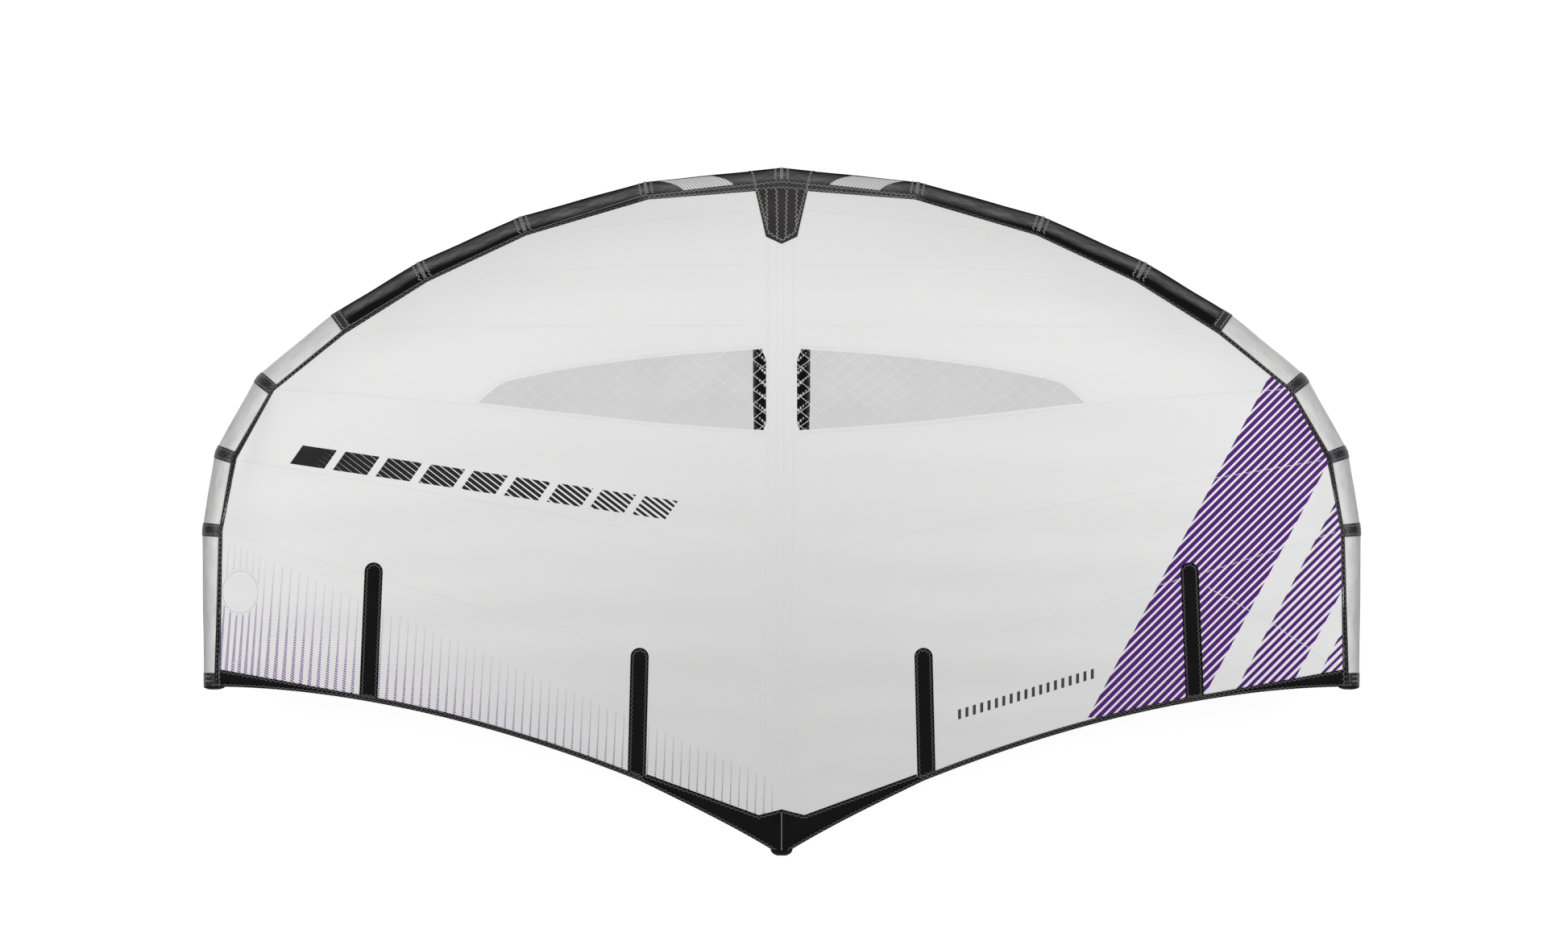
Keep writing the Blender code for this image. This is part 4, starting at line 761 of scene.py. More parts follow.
def window_film():
    """Film with a laid diamond scrim: clear over the strut, grey and partly opaque beyond it as painted
    shade of the floor under the wing.
    """
    # The film's grey is the colour of its painted shade.
    film = Finish("window_film", (0.20, 0.20, 0.205), 0.16, specular=0.3, source="Object")
    out = film.x.size()
    slope, level = out * 0.764, film.y + out * 0.032
    scrim = crossed(level - slope - 0.4441, level + slope - 0.5429, 0.0506, 0.055)
    film.paint(scrim, grey(0.69))
    cloud = film.noise(7, 3)
    # Painted shade: beyond the strut the film turns grey and partly opaque, standing for the shadowed floor
    # below; its ramp over the strut's edge paints a lighter gradient on the flank.
    painted_shade_veil = out.ramp(0.078, 0.0990)
    film.drive("Alpha", (scrim * 0.82 + (cloud * 0.08 + 0.34) * painted_shade_veil * painted_shade_veil + 0.015).least(1.0))
    film.bump(scrim + cloud * 2.0, 0.0003, 0.5)
    return film.material


def scuff_cloth():
    """White pad with fine slanting grey lines."""
    cloth = Finish("scuff_cloth", grey(0.72), 0.5, specular=0.3)
    rule = lines(cloth.x * 0.86 + cloth.y * 0.5, 0.0098, 0.27)
    cloth.paint(rule, grey(0.30), 0.85)
    cloth.bump(rule, 0.0002, 0.5)
    return cloth.material


def thread(look, colour):
    """Twisted polyester thread."""
    cord = Finish(f"thread_{look}", colour, 0.55, specular=0.4, source="Object")
    cord.paint(lines(cord.x + cord.y, 0.0016, 0.5), tuple(c * 0.72 for c in colour), 0.6)
    return cord.material


def plain(name, colour, roughness, metallic=0.0, specular=0.5, grain=90, depth=0.0002, spread=0.75):
    """Moulded, foamed or drawn finish with a fine grain."""
    solid = Finish(name, colour, roughness, metallic, specular, source="Object")
    grit = solid.noise(grain, 4)
    solid.paint(grit.ramp(0.35, 0.7), tuple(c * spread for c in colour), 0.7)
    solid.drive("Roughness", grit * 0.16 + (roughness - 0.08))
    solid.bump(grit, depth, 0.4)
    return solid.material


# Material and record slot of each finish
FINISHES = {
    "canopy": (canopy_cloth(), "canopy_cloth"),
    "black_tube": (black_cloth_with_painted_sheen(), "black_cloth"),
    # The strut's cloth keeps a twentieth of the painted sheen.
    "strut": (black_cloth_with_painted_sheen("strut_cloth", 0.05), "black_cloth"),
    "white_tube": (white_tube_cloth(), "white_film"),
    "band": (band_cloth(), "black_cloth"),
    "patch": (black_patch(), "black_cloth"),
    "tape": (black_patch("tape_cloth", 1.5), "black_webbing"),
    "webbing": (webbing(), "black_webbing"),
    "film": (window_film(), "window_film"),
    "scuff": (scuff_cloth(), "canopy_cloth"),
    "thread_light": (thread("light", grey(0.37)), "canopy_cloth"),
    "thread_grey": (thread("grey", (0.200, 0.198, 0.195)), "black_webbing"),
    "thread_dark": (thread("dark", (0.118, 0.116, 0.114)), "black_webbing"),
    "thread_white": (thread("white", grey(0.775)), "canopy_cloth"),
    "thread_tack": (thread("tack", grey(0.90)), "canopy_cloth"),
    "piping": (plain("piping", grey(0.36), 0.5), "canopy_cloth"),
    "bladder": (plain("bladder_film", (0.42, 0.46, 0.48), 0.30, grain=12, depth=0.001), "bladder_film"),
    "hose": (plain("hose_film", (0.050, 0.052, 0.056), 0.34, grain=60), "bladder_film"),
    "foam": (
        plain("foam_grip", (0.020, 0.020, 0.021), 0.82, specular=0.25, grain=420, depth=0.0006), "foam_grip"
    ),
    "plastic": (plain("moulded_plastic", (0.022, 0.022, 0.024), 0.42, grain=300), "moulded_plastic"),
    "valve": (plain("soft_valve", (0.085, 0.087, 0.092), 0.48, grain=200), "soft_valve"),
    "glass": (plain("batten_glass", (0.55, 0.50, 0.36), 0.35, grain=80), "batten_glass"),
    "steel": (
        plain("steel", (0.56, 0.56, 0.57), 0.24, metallic=1.0, grain=500, depth=0.0001, spread=0.9), "steel"
    ),
}


# Leading edge

TIP_END = TIP - 1e-6
FULL_TURN, UNDER = 2 * pi, -pi / 2
BAND_LIFT, TIP_LIFT, COVER_LIFT = 0.0009, 0.0010, 0.0007

# Outer bands: station, how far they reach before and after it, finish and thread
BANDS = (
    (4, 0.036, 0.002, "patch", "tube_light"),
    (5, 0.022, 0.022, "band", "tube_grey"),
    (6, 0.022, 0.022, "band", "tube_grey"),
    (7, 0.022, 0.022, "band", "tube_grey"),
)
# Rows of zigzag on the seam tape: stations, thread, pattern, and each row's share of the width
TAPE_ROWS = (
    (0, 1, "tape_light", "tape_nose", ((0.22, 1), (0.84, -1))),
    (1, 4, "tape_grey", "tape_inner", ((0.58, 1),)),
    (4, TIP, "tape_grey", "tape_outer", ((0.20, 1), (0.78, -1))),
)


def make_tube_panels():
    """Tube panels between their stations, drawn in at the sewn ends."""
    for side_name, side in SIDES:
        for k in range(TIP):
            rings = 1 + max(10, int(LENGTHS[k] / 0.016))
            s, a = lattice(np.linspace(0, 1, rings), np.linspace(0, FULL_TURN, 97))
            points, ways = tube(k + np.clip(s, 0, 0.999999), a)
            near = np.exp(-s * LENGTHS[k] / 0.020) * (k > 0)
            near += np.exp(-(1 - s) * LENGTHS[k] / 0.020) * (k < TIP - 1)
            folds = np.sin(a * 23 + k * 2 + side) * 0.6 + np.sin(a * 37 + k) * 0.4
            slack = 0.0007 * np.sin(a * 3 + s * 9 + k) * np.sin(s * pi)
            points = points - ways * (near * (0.0011 + 0.0010 * folds) + slack)[..., None]
            uvs = (s * LENGTHS[k] + k * 0.37, a * mix(RADII[k], RADII[k + 1], s))
            finish, tag = "black_tube" if k < 4 else "white_tube", f"{side_name}_{k + 1}"
            node = f"leading_edge_panel_{tag}"
            add_grid(f"tube_panel_{tag}", points, finish, uvs, side, stands_for=node)


def tube_band(name, side, low, high, lift, finish, start=0.0, end=FULL_TURN, steps=96):
    """Band round the tube between two places, its edges brought down to the tube."""
    shares = np.concatenate([[0.0, 0.0], np.linspace(0.02, 0.98, 7), [1.0, 1.0]])
    lifts = np.concatenate([[0.0], np.full(9, lift), [0.0]])
    share, a = lattice(shares, np.linspace(start, end, steps + 1))
    p = low + (high - low) * share
    points, _ = tube(np.clip(p, 0, TIP_END), a, lifts[:, None])
    add_grid(name, points, finish, (p * 0.4, a * 0.08), side)


def make_bands():
    """Reinforcing bands at the outer stations, and the cap and band at the tips."""
    inset, thread_rise, under_end = 0.008, 0.0001, -3.6
    for side_name, side in SIDES:
        for station, before, after, finish, key in BANDS:
            low, high = place_at(station, -before), place_at(station, after)
            tube_band(f"tube_band_{side_name}_{station}", side, low, high, BAND_LIFT, finish)
            reach = np.linspace(at_stations(TAPE_ANGLES, station) - 0.06, under_end, 60)
            for distance in (inset - before, after - inset):
                sew_tube(key, "band", side, place_at(station, distance), reach, BAND_LIFT + thread_rise)
        tube_band(f"tube_band_{side_name}_{TIP}", side, place_at(TIP, -0.046), TIP, TIP_LIFT, "band")
        for distance in (-0.034, -0.018):
            reach = np.linspace(1.2, under_end, 40)
            sew_tube("tube_light", "tip", side, place_at(TIP, distance), reach, TIP_LIFT + thread_rise)
        ring, _ = tube(TIP_END, np.linspace(0, FULL_TURN, 65), BAND_LIFT)
        run = unit(CENTRES[TIP] - CENTRES[TIP - 1])
        cap = dome(ring, CENTRES[TIP] + UP * RISE, run * 0.011, 9, 0.9)
        add_grid(
            f"tip_dome_{side_name}", cap, "webbing", (cap[..., 0], cap[..., 2]), side,
            stands_for=f"tip_cap_{side_name}",
        )


def make_tube_seams():
    """Triple zigzags where tube panels meet, and the nose cover over the tube."""
    under_end, cover_end, foot_half_angle = -3.7, -3.8, 0.27
    nose_reach = np.linspace(TAPE_ANGLES[0] - 0.02, under_end, 70)
    bends, outs = [-0.2, TAPE_ANGLES[0]], np.array([0.1035, 0.0880]) / FIRST_OUT
    slant = np.interp(nose_reach, bends, outs)
    border = np.interp(np.linspace(TAPE_ANGLES[0], cover_end, 73), bends, outs) + 0.014
    for side_name, side in SIDES:
        for station in (1, 2, 3):
            reach = np.linspace(at_stations(TAPE_ANGLES, station) - 0.05, under_end, 70)
            for distance in (-0.019, 0.020):
                sew_tube("tube_light", "seam", side, place_at(station, distance), reach, 0.0006)
            cross_tube(side, station, reach, 0.0006)
        for part in (nose_reach > UNDER + foot_half_angle, nose_reach < UNDER - foot_half_angle):
            sew_tube("tube_light", "seam", side, slant[part], nose_reach[part], 0.0010)
        sew_tube("tube_light", "seam", side, 0.020 / FIRST_OUT, nose_reach, 0.0010)
        cover = f"nose_cover_{side_name}"
        tube_band(cover, side, 0.0, border, COVER_LIFT, "black_tube", TAPE_ANGLES[0], cover_end, 72)
    for _, side in SIDES:
        over_tape = np.linspace(TAPE_ANGLES[0], SEAM_ANGLES[0], 6)
        sew_tube("tube_light", "seam", side, np.linspace(0.0880, 0.0830, 6) / FIRST_OUT, over_tape, 0.0024)
    cross_tube(1, 0.0, nose_reach, 0.0010)


def make_seam_tapes():
    """Tape over the joint of tube and canopy, with its rows of zigzag."""
    places = np.concatenate([k + np.linspace(0, 1, 13)[:-1] for k in range(TIP)] + [[TIP_END]])
    inward = read_at(places, STATIONS, MITRED)
    insets = at_stations(TAPE_INSETS, places)[:, None]
    thread_lift, top_lift = 0.0020, 0.0019

    def row(share, extra):
        """Row along the tube, a share of the way from the tape's outer edge to the seam."""
        i = np.clip(places.astype(int), 0, TIP - 1)
        f = (places - i)[:, None]
        angle = mix(TAPE_ANGLES, SEAM_ANGLES, share)
        low, up_low = tube(i.astype(float), angle[i], extra)
        high, up_high = tube((i + 1).astype(float), angle[i + 1], extra)
        return mix(low, high, f), unit(mix(up_low, up_high, f))

    seam = row(1.0, top_lift)[0]
    outer, outer_ways = row(0.0, thread_lift)
    width = np.linalg.norm(seam - outer, axis=1)[:, None]
    for side_name, side in SIDES:
        rows = [row(0.0, 0.0002)[0]]
        rows += [row(share, top_lift)[0] for share in (0.0, 0.03, 0.25, 0.5, 0.75, 1.0)]
        for share, lift in ((0.6, top_lift), (1.0, 0.0004)):
            inner = mirror(seam - inward * insets * share, side)
            rows.append(mirror(on_cloth(inner[:, :2], lift)[0], side))
        across = np.array([0, 0, 0.001, 0.008, 0.016, 0.024, 0.032, 0.035, 0.037])
        uvs = (distances(seam)[:, None], across)
        name, node = f"joint_tape_{side_name}", f"seam_tape_{side_name}"
        add_grid(name, np.stack(rows, axis=1), "tape", uvs, side, turn=-1, stands_for=node)
        for first, last, key, pattern, threads in TAPE_ROWS:
            keep = (places >= first) & (places <= last)
            for share, flip in threads:
                reach = share * (width + insets)
                spare = np.clip(reach - width, 0, None)
                path, ways = mix(outer, seam, np.clip(reach / width, 0, 1)) - inward * spare, outer_ways
                if first == 0:
                    path, ways = row(share, thread_lift)
                path, ways = mirror(path, side), mirror(ways, side)
                beyond = (reach > width)[:, 0]
                path[beyond] = on_cloth(path[beyond, :2], 0.0022)[0]
                stitch(key, pattern, path[keep], ways[keep], flip)
    keep = (places >= 1) & (places <= 4)
    rows = [row(share, 0.0026)[0][keep] for share in (-0.10, -0.05, 0.0)]
    add_grid("tape_piping_left", np.stack(rows, axis=1), "piping", side=-1, turn=-1)


def make_scuff_pads():
    """Slanted white pads on the first tube panel each side."""
    start, slant, length, low_angle = 0.158, 0.072, 0.165, radians(14.0)
    for side_name, side in SIDES:
        rows, turns = [], []
        for share in np.linspace(0, 1, 13):
            outs = start + slant * (1 - share) ** 1.3 + np.linspace(0, length, 15)
            top = np.interp(outs / FIRST_OUT, [0, 1], TAPE_ANGLES[:2]) - 0.02
            angles = mix(low_angle, top, share)
            rows.append(tube(outs / FIRST_OUT, angles, 0.0011)[0])
            turns.append(angles * TUBE_RADIUS)
        grid = np.stack(rows)
        add_grid(
            f"pad_{side_name}", grid, "scuff", (grid[..., 0], np.stack(turns)), side, turn=-1,
            stands_for=f"scuff_pad_{side_name}",
        )


# Canopy

# Window: its lowest place, its length out from the strip and its depth, then its outline in shares of them
WINDOW_LOW, WINDOW_LENGTH, WINDOW_DEPTH = 0.2774, 0.978, 0.277
WINDOW_OUT_SHARES = np.array([0.0, 0.31, 0.535, 0.703, 0.871, 0.927, 0.969, 1.0, 0.703, 0.423, 0.143, 0.0])
WINDOW_UP_SHARES = np.array([1.0, 0.92, 0.83, 0.743, 0.624, 0.554, 0.436, 0.337, 0.218, 0.109, 0.030, 0.0])
WINDOW_TIP = 7

# Seams between the canopy's panels, as pixels of the left half; the first three are the wide ones
SEAM_PIXELS = (
    ((470, 408), (700, 405), (951, 404)),
    ((600, 340), (780, 332), (951, 328)),
    ((716, 285), (800, 275), (937, 262)),
    ((344, 483), (470, 492), (594, 503)),
    ((300, 571.4), (500, 605), (700, 640), (951, 690)),
    ((283, 660.5), (450, 712)),
    ((473, 718), (780, 805)),
    ((810, 815), (951, 857)),
    ((825, 856), (872.5, 924.5), (919, 985)),
    ((444, 727), (360, 775), (288, 824)),
)
# Seams along the centre strip: pixels across at the two front rows and at the two rear rows, and the rows
STRIP_PIXELS = ((953.5, 959.2), (964.8, 966.0), (973.0, 974.0), (985.0, 980.3))
STRIP_ROWS = (300.0, 560.0, 900.0, 1005.0)


def window_loop(grow=0.0):
    """Outline of the right window, from the strip round its far end and back."""
    base = STRIP_HALF_WIDTH + 0.0003
    outs, ups = base + WINDOW_LENGTH * WINDOW_OUT_SHARES, WINDOW_LOW + WINDOW_DEPTH * WINDOW_UP_SHARES
    points = np.stack([outs, ups], axis=1)
    loop = np.vstack([smooth_path(points[:WINDOW_TIP + 1], 8), smooth_path(points[WINDOW_TIP:], 8)[1:]])
    if grow:
        loop = loop + sideways(loop) * grow
        loop[0, 0] = loop[-1, 0] = base
    return loop


def make_canopy():
    """Canopy halves with their windows, and the strip over the strut."""
    edge = STRIP_HALF_WIDTH - 0.004
    front = resample(SEAMS[:, :2], 0.02)
    front = front[front[:, 0] > edge]
    first_y = np.interp(edge, SEAMS[:2, 0], SEAMS[:2, 1])
    outline = np.vstack([[[edge, first_y]], front, rear_path(REAR_TIP[0], edge)[1:]])
    hole = window_loop()
    hole[0, 0] += 0.0147
    hole[-1, 0] += 0.0095
    above, below = [edge, hole[0, 1] - 0.049], [edge, hole[-1, 1] + 0.033]
    split = np.vstack([outline, [below], hole[::-1], [above]])
    pane_loop = window_loop(0.008)
    pane_loop[0, 0] = pane_loop[-1, 0] = edge
    for side_name, side in SIDES:
        half, pane = f"canopy_half_{side_name}", f"window_pane_{side_name}"
        item = lay(half, mirror(split, side), 0.021, 0.0, "canopy", stands_for=f"canopy_{side_name}")
        item = lay(pane, mirror(pane_loop, side), 0.022, -0.0006, "film", stands_for=f"window_{side_name}")
        ribbon(f"window_hem_{side_name}", mirror(window_loop(0.007)[3:-3], side), 0.013, 0.0004, "canopy")
        sew("cloth_white", "window", mirror(window_loop(0.0095), side), 0.0005)
    right = np.array([[STRIP_HALF_WIDTH, first_y], [STRIP_HALF_WIDTH, float(rear_y(STRIP_HALF_WIDTH))]])
    left = mirror(right, -1)
    strip = np.vstack([left[:1], [[0, SEAMS[0, 1]]], right, [[0, REAR_END]], left[1:]])
    lay("spine_strip", strip, 0.018, 0.0009, "canopy", hem=0.0006, stands_for="centre_strip")
    for front_x, rear_x in STRIP_PIXELS:
        columns = (front_x, front_x, rear_x, rear_x)
        sew("cloth_white", "strip", [spot(x, y) for x, y in zip(columns, STRIP_ROWS)], 0.0011)


def make_panel_seams():
    """Lapped seams between the canopy's panels, each with its zigzag."""
    for side_name, side in SIDES:
        for k, pixels in enumerate(SEAM_PIXELS):
            points = mirror([spot(*pixel) for pixel in pixels], -side)
            if len(points) > 2:
                points = smooth_path(points, 6)
            width, pattern = (0.014, "panel") if k < 3 else (0.009, "side_panel")
            ribbon(f"panel_seam_{side_name}_{k + 1}", points, width, 0.0002, "canopy")
            sew("cloth_white", pattern, points, 0.0003)


def sagging(path):
    """Path along the trailing edge that drops behind it near the strut."""
    path = path.copy()
    path[:, 1] -= 0.0195 * np.clip(1 - path[:, 0] / 0.42, 0, 1) ** 3
    return path


def make_rear_pieces():
    """Trailing edge tape, tip corners and the reinforcement at the strut, on both faces of the cloth."""
    tape_start, corner_start = 0.462, 1.438
    corner = np.array([[REAR_TIP[0] - 0.004, REAR_TIP[1] + 0.0575]])
    inner = rear_path(tape_start, corner_start, 0.0165)
    outer = rear_path(REAR_TIP[0] - 0.001, tape_start, -0.0015)
    slant = np.vstack([[corner_start, rear_y(corner_start) + 0.012], corner - [0.006, 0.008]])
    for side_name, side in SIDES:
        outline = mirror(np.vstack([inner, corner, outer]), side)
        lay(
            f"rear_tape_{side_name}", outline, 0.014, 0.0026, "webbing", hem=0.0012,
            stands_for=f"trailing_tape_{side_name}",
        )
        lay(f"rear_tape_under_{side_name}", outline, 0.020, -0.0008, "webbing")
        sew("rear_dark", "rear", mirror(rear_path(0.47, 1.94, 0.0045), side), 0.0024)
        sew("rear_dark", "rear", mirror(rear_path(0.47, corner_start, 0.0125), side), 0.0024, -1)
        sew("rear_dark", "seam", mirror(slant, side), 0.0024)
    shoulder, crown, outer_edge = [0.0775, -1.0314], [0.0, -1.0117], [0.459, -0.8920]
    sag = sagging(rear_path(0.036, 0.466, -0.0015))
    half = np.vstack([[[0.0, -1.1590]], sag, [outer_edge], [shoulder], [crown]])
    outline = np.vstack([half, mirror(half[1:-1][::-1], -1)])
    item = lay("rear_patch", outline, 0.014, 0.0028, "webbing", hem=0.0018, stands_for="trailing_patch")
    below = lay("rear_patch_under", outline, 0.022, -0.0009, "webbing")
    for piece in (item, below):
        for vertex in piece.data.vertices:
            back = min(max(REAR_END - vertex.co.y, 0.0) / 0.0215, 1.0)
            past = back * max(0.0, 1 - abs(vertex.co.x) / 0.09)
            vertex.co.z -= STRUT_REAR_RADIUS * (1 - sqrt(1 - past * past))
    ribbon("rear_patch_seam", [(0, -1.022), (0, -1.150)], 0.0022, 0.0032, "piping")
    below_edge = np.array([0.0, -0.009])
    fold = np.array([[0.440, float(rear_y(0.44)) + 0.020], [0.010, REAR_END + 0.018]])
    for side_name, side in SIDES:
        top = np.array([outer_edge, shoulder]) + below_edge
        ridge = np.array([shoulder, [0.004, crown[1]]]) + below_edge
        for path in (sagging(rear_path(0.020, 0.470, 0.0065)), top, ridge):
            sew("rear_dark", "rear_patch", mirror(path, side), 0.0031)
        ribbon(f"rear_patch_fold_{side_name}", mirror(fold, side), 0.012, 0.0034, "webbing")


def make_nose_patch():
    """Black patch over the canopy at the nose with its rows of zigzag."""
    front, lift = SEAMS[0, 1], 0.0026
    right = np.array([[0.0904, front + 0.001], [0.0904, front], [0.0534, front - 0.162]])
    outline = np.vstack([right, [[0.0, front - 0.187]], mirror(right, -1)[::-1]])
    lay("nose_cap_patch", outline, 0.014, 0.0024, "patch", hem=0.0007, stands_for="nose_patch")
    low = outline[2] + [-0.008, 0.014]
    edge = np.array([[0.0815, front - 0.004], low, [0.001, front - 0.175]])
    for _, side in SIDES:
        sew("nose_light", "nose", mirror(edge, side), lift)
        for x, length in ((0.0175, 0.166), (0.0520, 0.125)):
            line = [[x, front - 0.002], [x - 0.003, front - length]]
            sew("nose_light", "nose", mirror(line, side), lift)


def pocket_loop(top, run, width, above):
    """Straight strip with a round top, down to a distance above the trailing edge."""
    radius = width / 2
    across = np.array([-run[1], run[0]])
    hub = np.array(top) + run * radius
    loop = [hub + across * cos(a) * radius - run * sin(a) * radius for a in np.linspace(0, pi, 15)]
    for edge in (-across, across):
        start = hub + edge * radius
        level = rear_y(start[0] + run[0] * (rear_y(start[0]) - start[1]) / run[1]) + above
        loop.append(start + run * (level - start[1]) / run[1])
    return np.array(loop)


def puffed(places, loop):
    """A pocket's height over the cloth: sewn down at its edges and at the trailing edge."""
    above = places[:, 1] - rear_y(places[:, 0])
    depth = clearance(loop, places)
    rise = 0.0016 + 0.0040 * ease(depth / 0.020) * ease((above - 0.018) / 0.020)
    return np.where(depth < 0.0005, 0.0004, rise)


def make_pockets():
    """Batten pockets, puffed over their battens, and the battens."""
    thickness = 0.0016
    for name, top, end_out in (("outer", (1.386, -0.172), 1.406), ("inner", (0.482, -0.4624), 0.493)):
        run = unit(np.array([end_out, float(rear_y(end_out))]) - np.array(top))
        outline = pocket_loop(top, run, 0.062, 0.006)
        rod = pocket_loop(np.array(top) + run * 0.022, run, 0.034, 0.040)
        inner = pocket_loop(np.array(top) + run * 0.0085, run, 0.045, 0.018)
        path = np.vstack([inner[-1:], inner[:16], inner[-1:]])
        for side_name, side in SIDES:
            loop = mirror(outline, side)
            places, faces = fill(loop, 0.0085)
            points, ways = on_cloth(places)
            points = points + ways * puffed(places, loop)[:, None]
            tag = f"{name}_{side_name}"
            add_mesh(f"pocket_{tag}", points, faces, "webbing", places, f"batten_pocket_{tag}")
            spots, up = on_cloth(resample(mirror(path, side), 0.008))
            level = puffed(spots[:, :2], loop) + 0.0006
            stitch("pocket_dark", "pocket", spots + up * level[:, None], up)
            bar, bar_faces = fill(mirror(rod, side), 0.017)
            lower, up = on_cloth(bar, 0.0012)
            faces = [tuple(f + len(bar)) for f in bar_faces] + [tuple(f[::-1]) for f in bar_faces]
            points = np.vstack([lower, lower + up * thickness])
            add_mesh(f"batten_bar_{tag}", points, faces, "glass", stands_for=f"batten_{tag}")


# Strut

STRUT_LINE_Y = np.linspace(0.989, REAR_END + 0.0005, 120)
STRUT_LINE_Z = on_cloth(np.stack([np.zeros(120), STRUT_LINE_Y], axis=1))[0][:, 2]
STRUT_GAP = 0.0006

# Metres of cloth to a radian round the strut, for its weave
AROUND = 0.09


def strut_radius(y):
    """Strut radius at a place along Y."""
    fore = np.clip((y - STRUT_WIDEST) / (STRUT_FRONT - STRUT_WIDEST), 0, 1)
    aft = np.clip((STRUT_WIDEST - y) / (STRUT_WIDEST - REAR_END), 0, 1)
    fore_radius = mix(STRUT_RADIUS, STRUT_FRONT_RADIUS, fore ** 2)
    return np.where(y > STRUT_WIDEST, fore_radius, mix(STRUT_RADIUS, STRUT_REAR_RADIUS, aft ** 1.4))


def strut(y, angle, extra=0.0):
    """Points on the strut and their outward directions."""
    y, angle, extra = np.broadcast_arrays(np.asarray(y, float), angle, extra)
    radius = strut_radius(y)
    top = np.interp(-y, -STRUT_LINE_Y, STRUT_LINE_Z)
    way = np.stack([np.cos(angle), np.zeros(y.shape), np.sin(angle)], axis=-1)
    centre = np.stack([np.zeros(y.shape), y, top - radius - STRUT_GAP], axis=-1)
    return centre + way * (radius + extra)[..., None], way


def sew_strut(pattern, ys, angles, lift):
    """Zigzag on the strut."""
    stitch("strut_light", pattern, *strut(ys, angles, lift))


def make_strut():
    """Strut sleeve with its bands and seams."""
    y, a = lattice(np.linspace(0.985, REAR_END + 0.001, 130), np.linspace(pi / 2, pi / 2 + FULL_TURN, 73))
    points, ways = strut(y, a)
    slack = 0.0006 * np.sin(y * 44 + np.sin(a * 3) * 2) * (0.5 - 0.5 * np.sin(a))
    points = points - ways * slack[..., None]
    add_grid("strut_tube", points, "strut", (y, a * AROUND), stands_for="strut_sleeve")
    lifts = np.array([0, 1, 1, 1, 1, 1, 0])[:, None] * 0.0007
    for k, place in enumerate((0.870, 0.165, -0.480, -0.900)):
        rows = np.linspace(place - 0.016, place + 0.016, 5)[[0, 0, 1, 2, 3, 4, 4]]
        y, a = lattice(rows, np.linspace(0.75 * pi, 2.25 * pi, 60))
        add_grid(f"strut_band_{k + 1}", strut(y, a, lifts)[0], "webbing", (y, a * AROUND), turn=-1)
        for shift in (-0.009, 0.009):
            sew_strut("seam", place + shift, np.linspace(0.76 * pi, 2.24 * pi, 60), 0.0009)
    for angle in (1.30 * pi, 1.70 * pi):
        sew_strut("strut", np.linspace(0.84, -1.10, 150), angle, 0.0004)


def make_tacks():
    """Raised bar tacks in slanting rows on the strut's shoulders, as one piece."""
    points, faces = [], []
    along = np.array([0.0, 1.0, 0.0])
    for row in range(8):
        for step in range(5):
            out, y = 0.0905 - step * 0.0085, 0.590 - row * 0.0428 - step * 0.0077
            radius = 0.0033 + step * 0.00055
            for way in (1, -1):
                point, up = strut(y, np.arccos(way * out / strut_radius(y)), 0.0006)
                across = unit(np.cross(up, along))
                base = len(points)
                for a in np.linspace(0, FULL_TURN, 9)[:-1]:
                    points.append(point + (along * sin(a) + across * cos(a)) * radius)
                points.append(point + up * 0.0008)
                faces += [(base + k, base + (k + 1) % 8, base + 8) for k in range(8)]
    add_mesh("strut_tacks", points, faces, "thread_tack")


def make_strut_end():
    """Round end of the strut."""
    rear = REAR_END + 0.0005
    ring, _ = strut(rear, np.linspace(0, FULL_TURN, 65), 0.0006)
    hub = strut(rear, 0.0)[0] - np.array([float(strut_radius(rear)), 0, 0])
    cap = dome(ring, hub, np.array([0, -rear - FRONT, 0]), 10, 0.85)
    add_grid("strut_dome", cap, "webbing", (cap[..., 0], cap[..., 2]), turn=-1, stands_for="strut_end_cap")


def make_bladders():
    """Air bladders in the strut and in the leading edge, which is dented to clear the valve's plunger."""
    inset, dent, dent_radius = -0.004, 0.020, 0.11
    turns = np.linspace(0, FULL_TURN, 33)
    y, a = lattice(np.linspace(0.915, REAR_END + 0.006, 60), turns)
    add_grid("strut_air_tube", strut(y, a, inset)[0], "bladder", (y, a), stands_for="strut_bladder")
    valve = np.array(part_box("valve_poppet")).mean(axis=0)
    rings = []
    for place in np.concatenate([np.linspace(-TIP_END, 0, 57)[:-1], np.linspace(0, TIP_END, 57)]):
        side = -1 if place < 0 else 1
        ring, ways = tube(abs(place), turns, inset)
        far = np.linalg.norm(mirror(ring, side) - valve, axis=1) / dent_radius
        near = np.clip(1 - far ** 2, 0, 1)[:, None]
        rings.append(mirror(ring - ways * dent * near ** 2, side))
    grid = np.stack(rings)
    uvs = (grid[..., 0], grid[..., 1])
    add_grid("tube_air_tube", grid, "bladder", uvs, stands_for="leading_edge_bladder")


# Handles

def joint(name):
    """Place and axis of a joint."""
    found = [j for j in frame["joints"] if j["name"] == name][0]
    return np.array(found["pos_m"], float), unit(np.array(found["axis"], float))


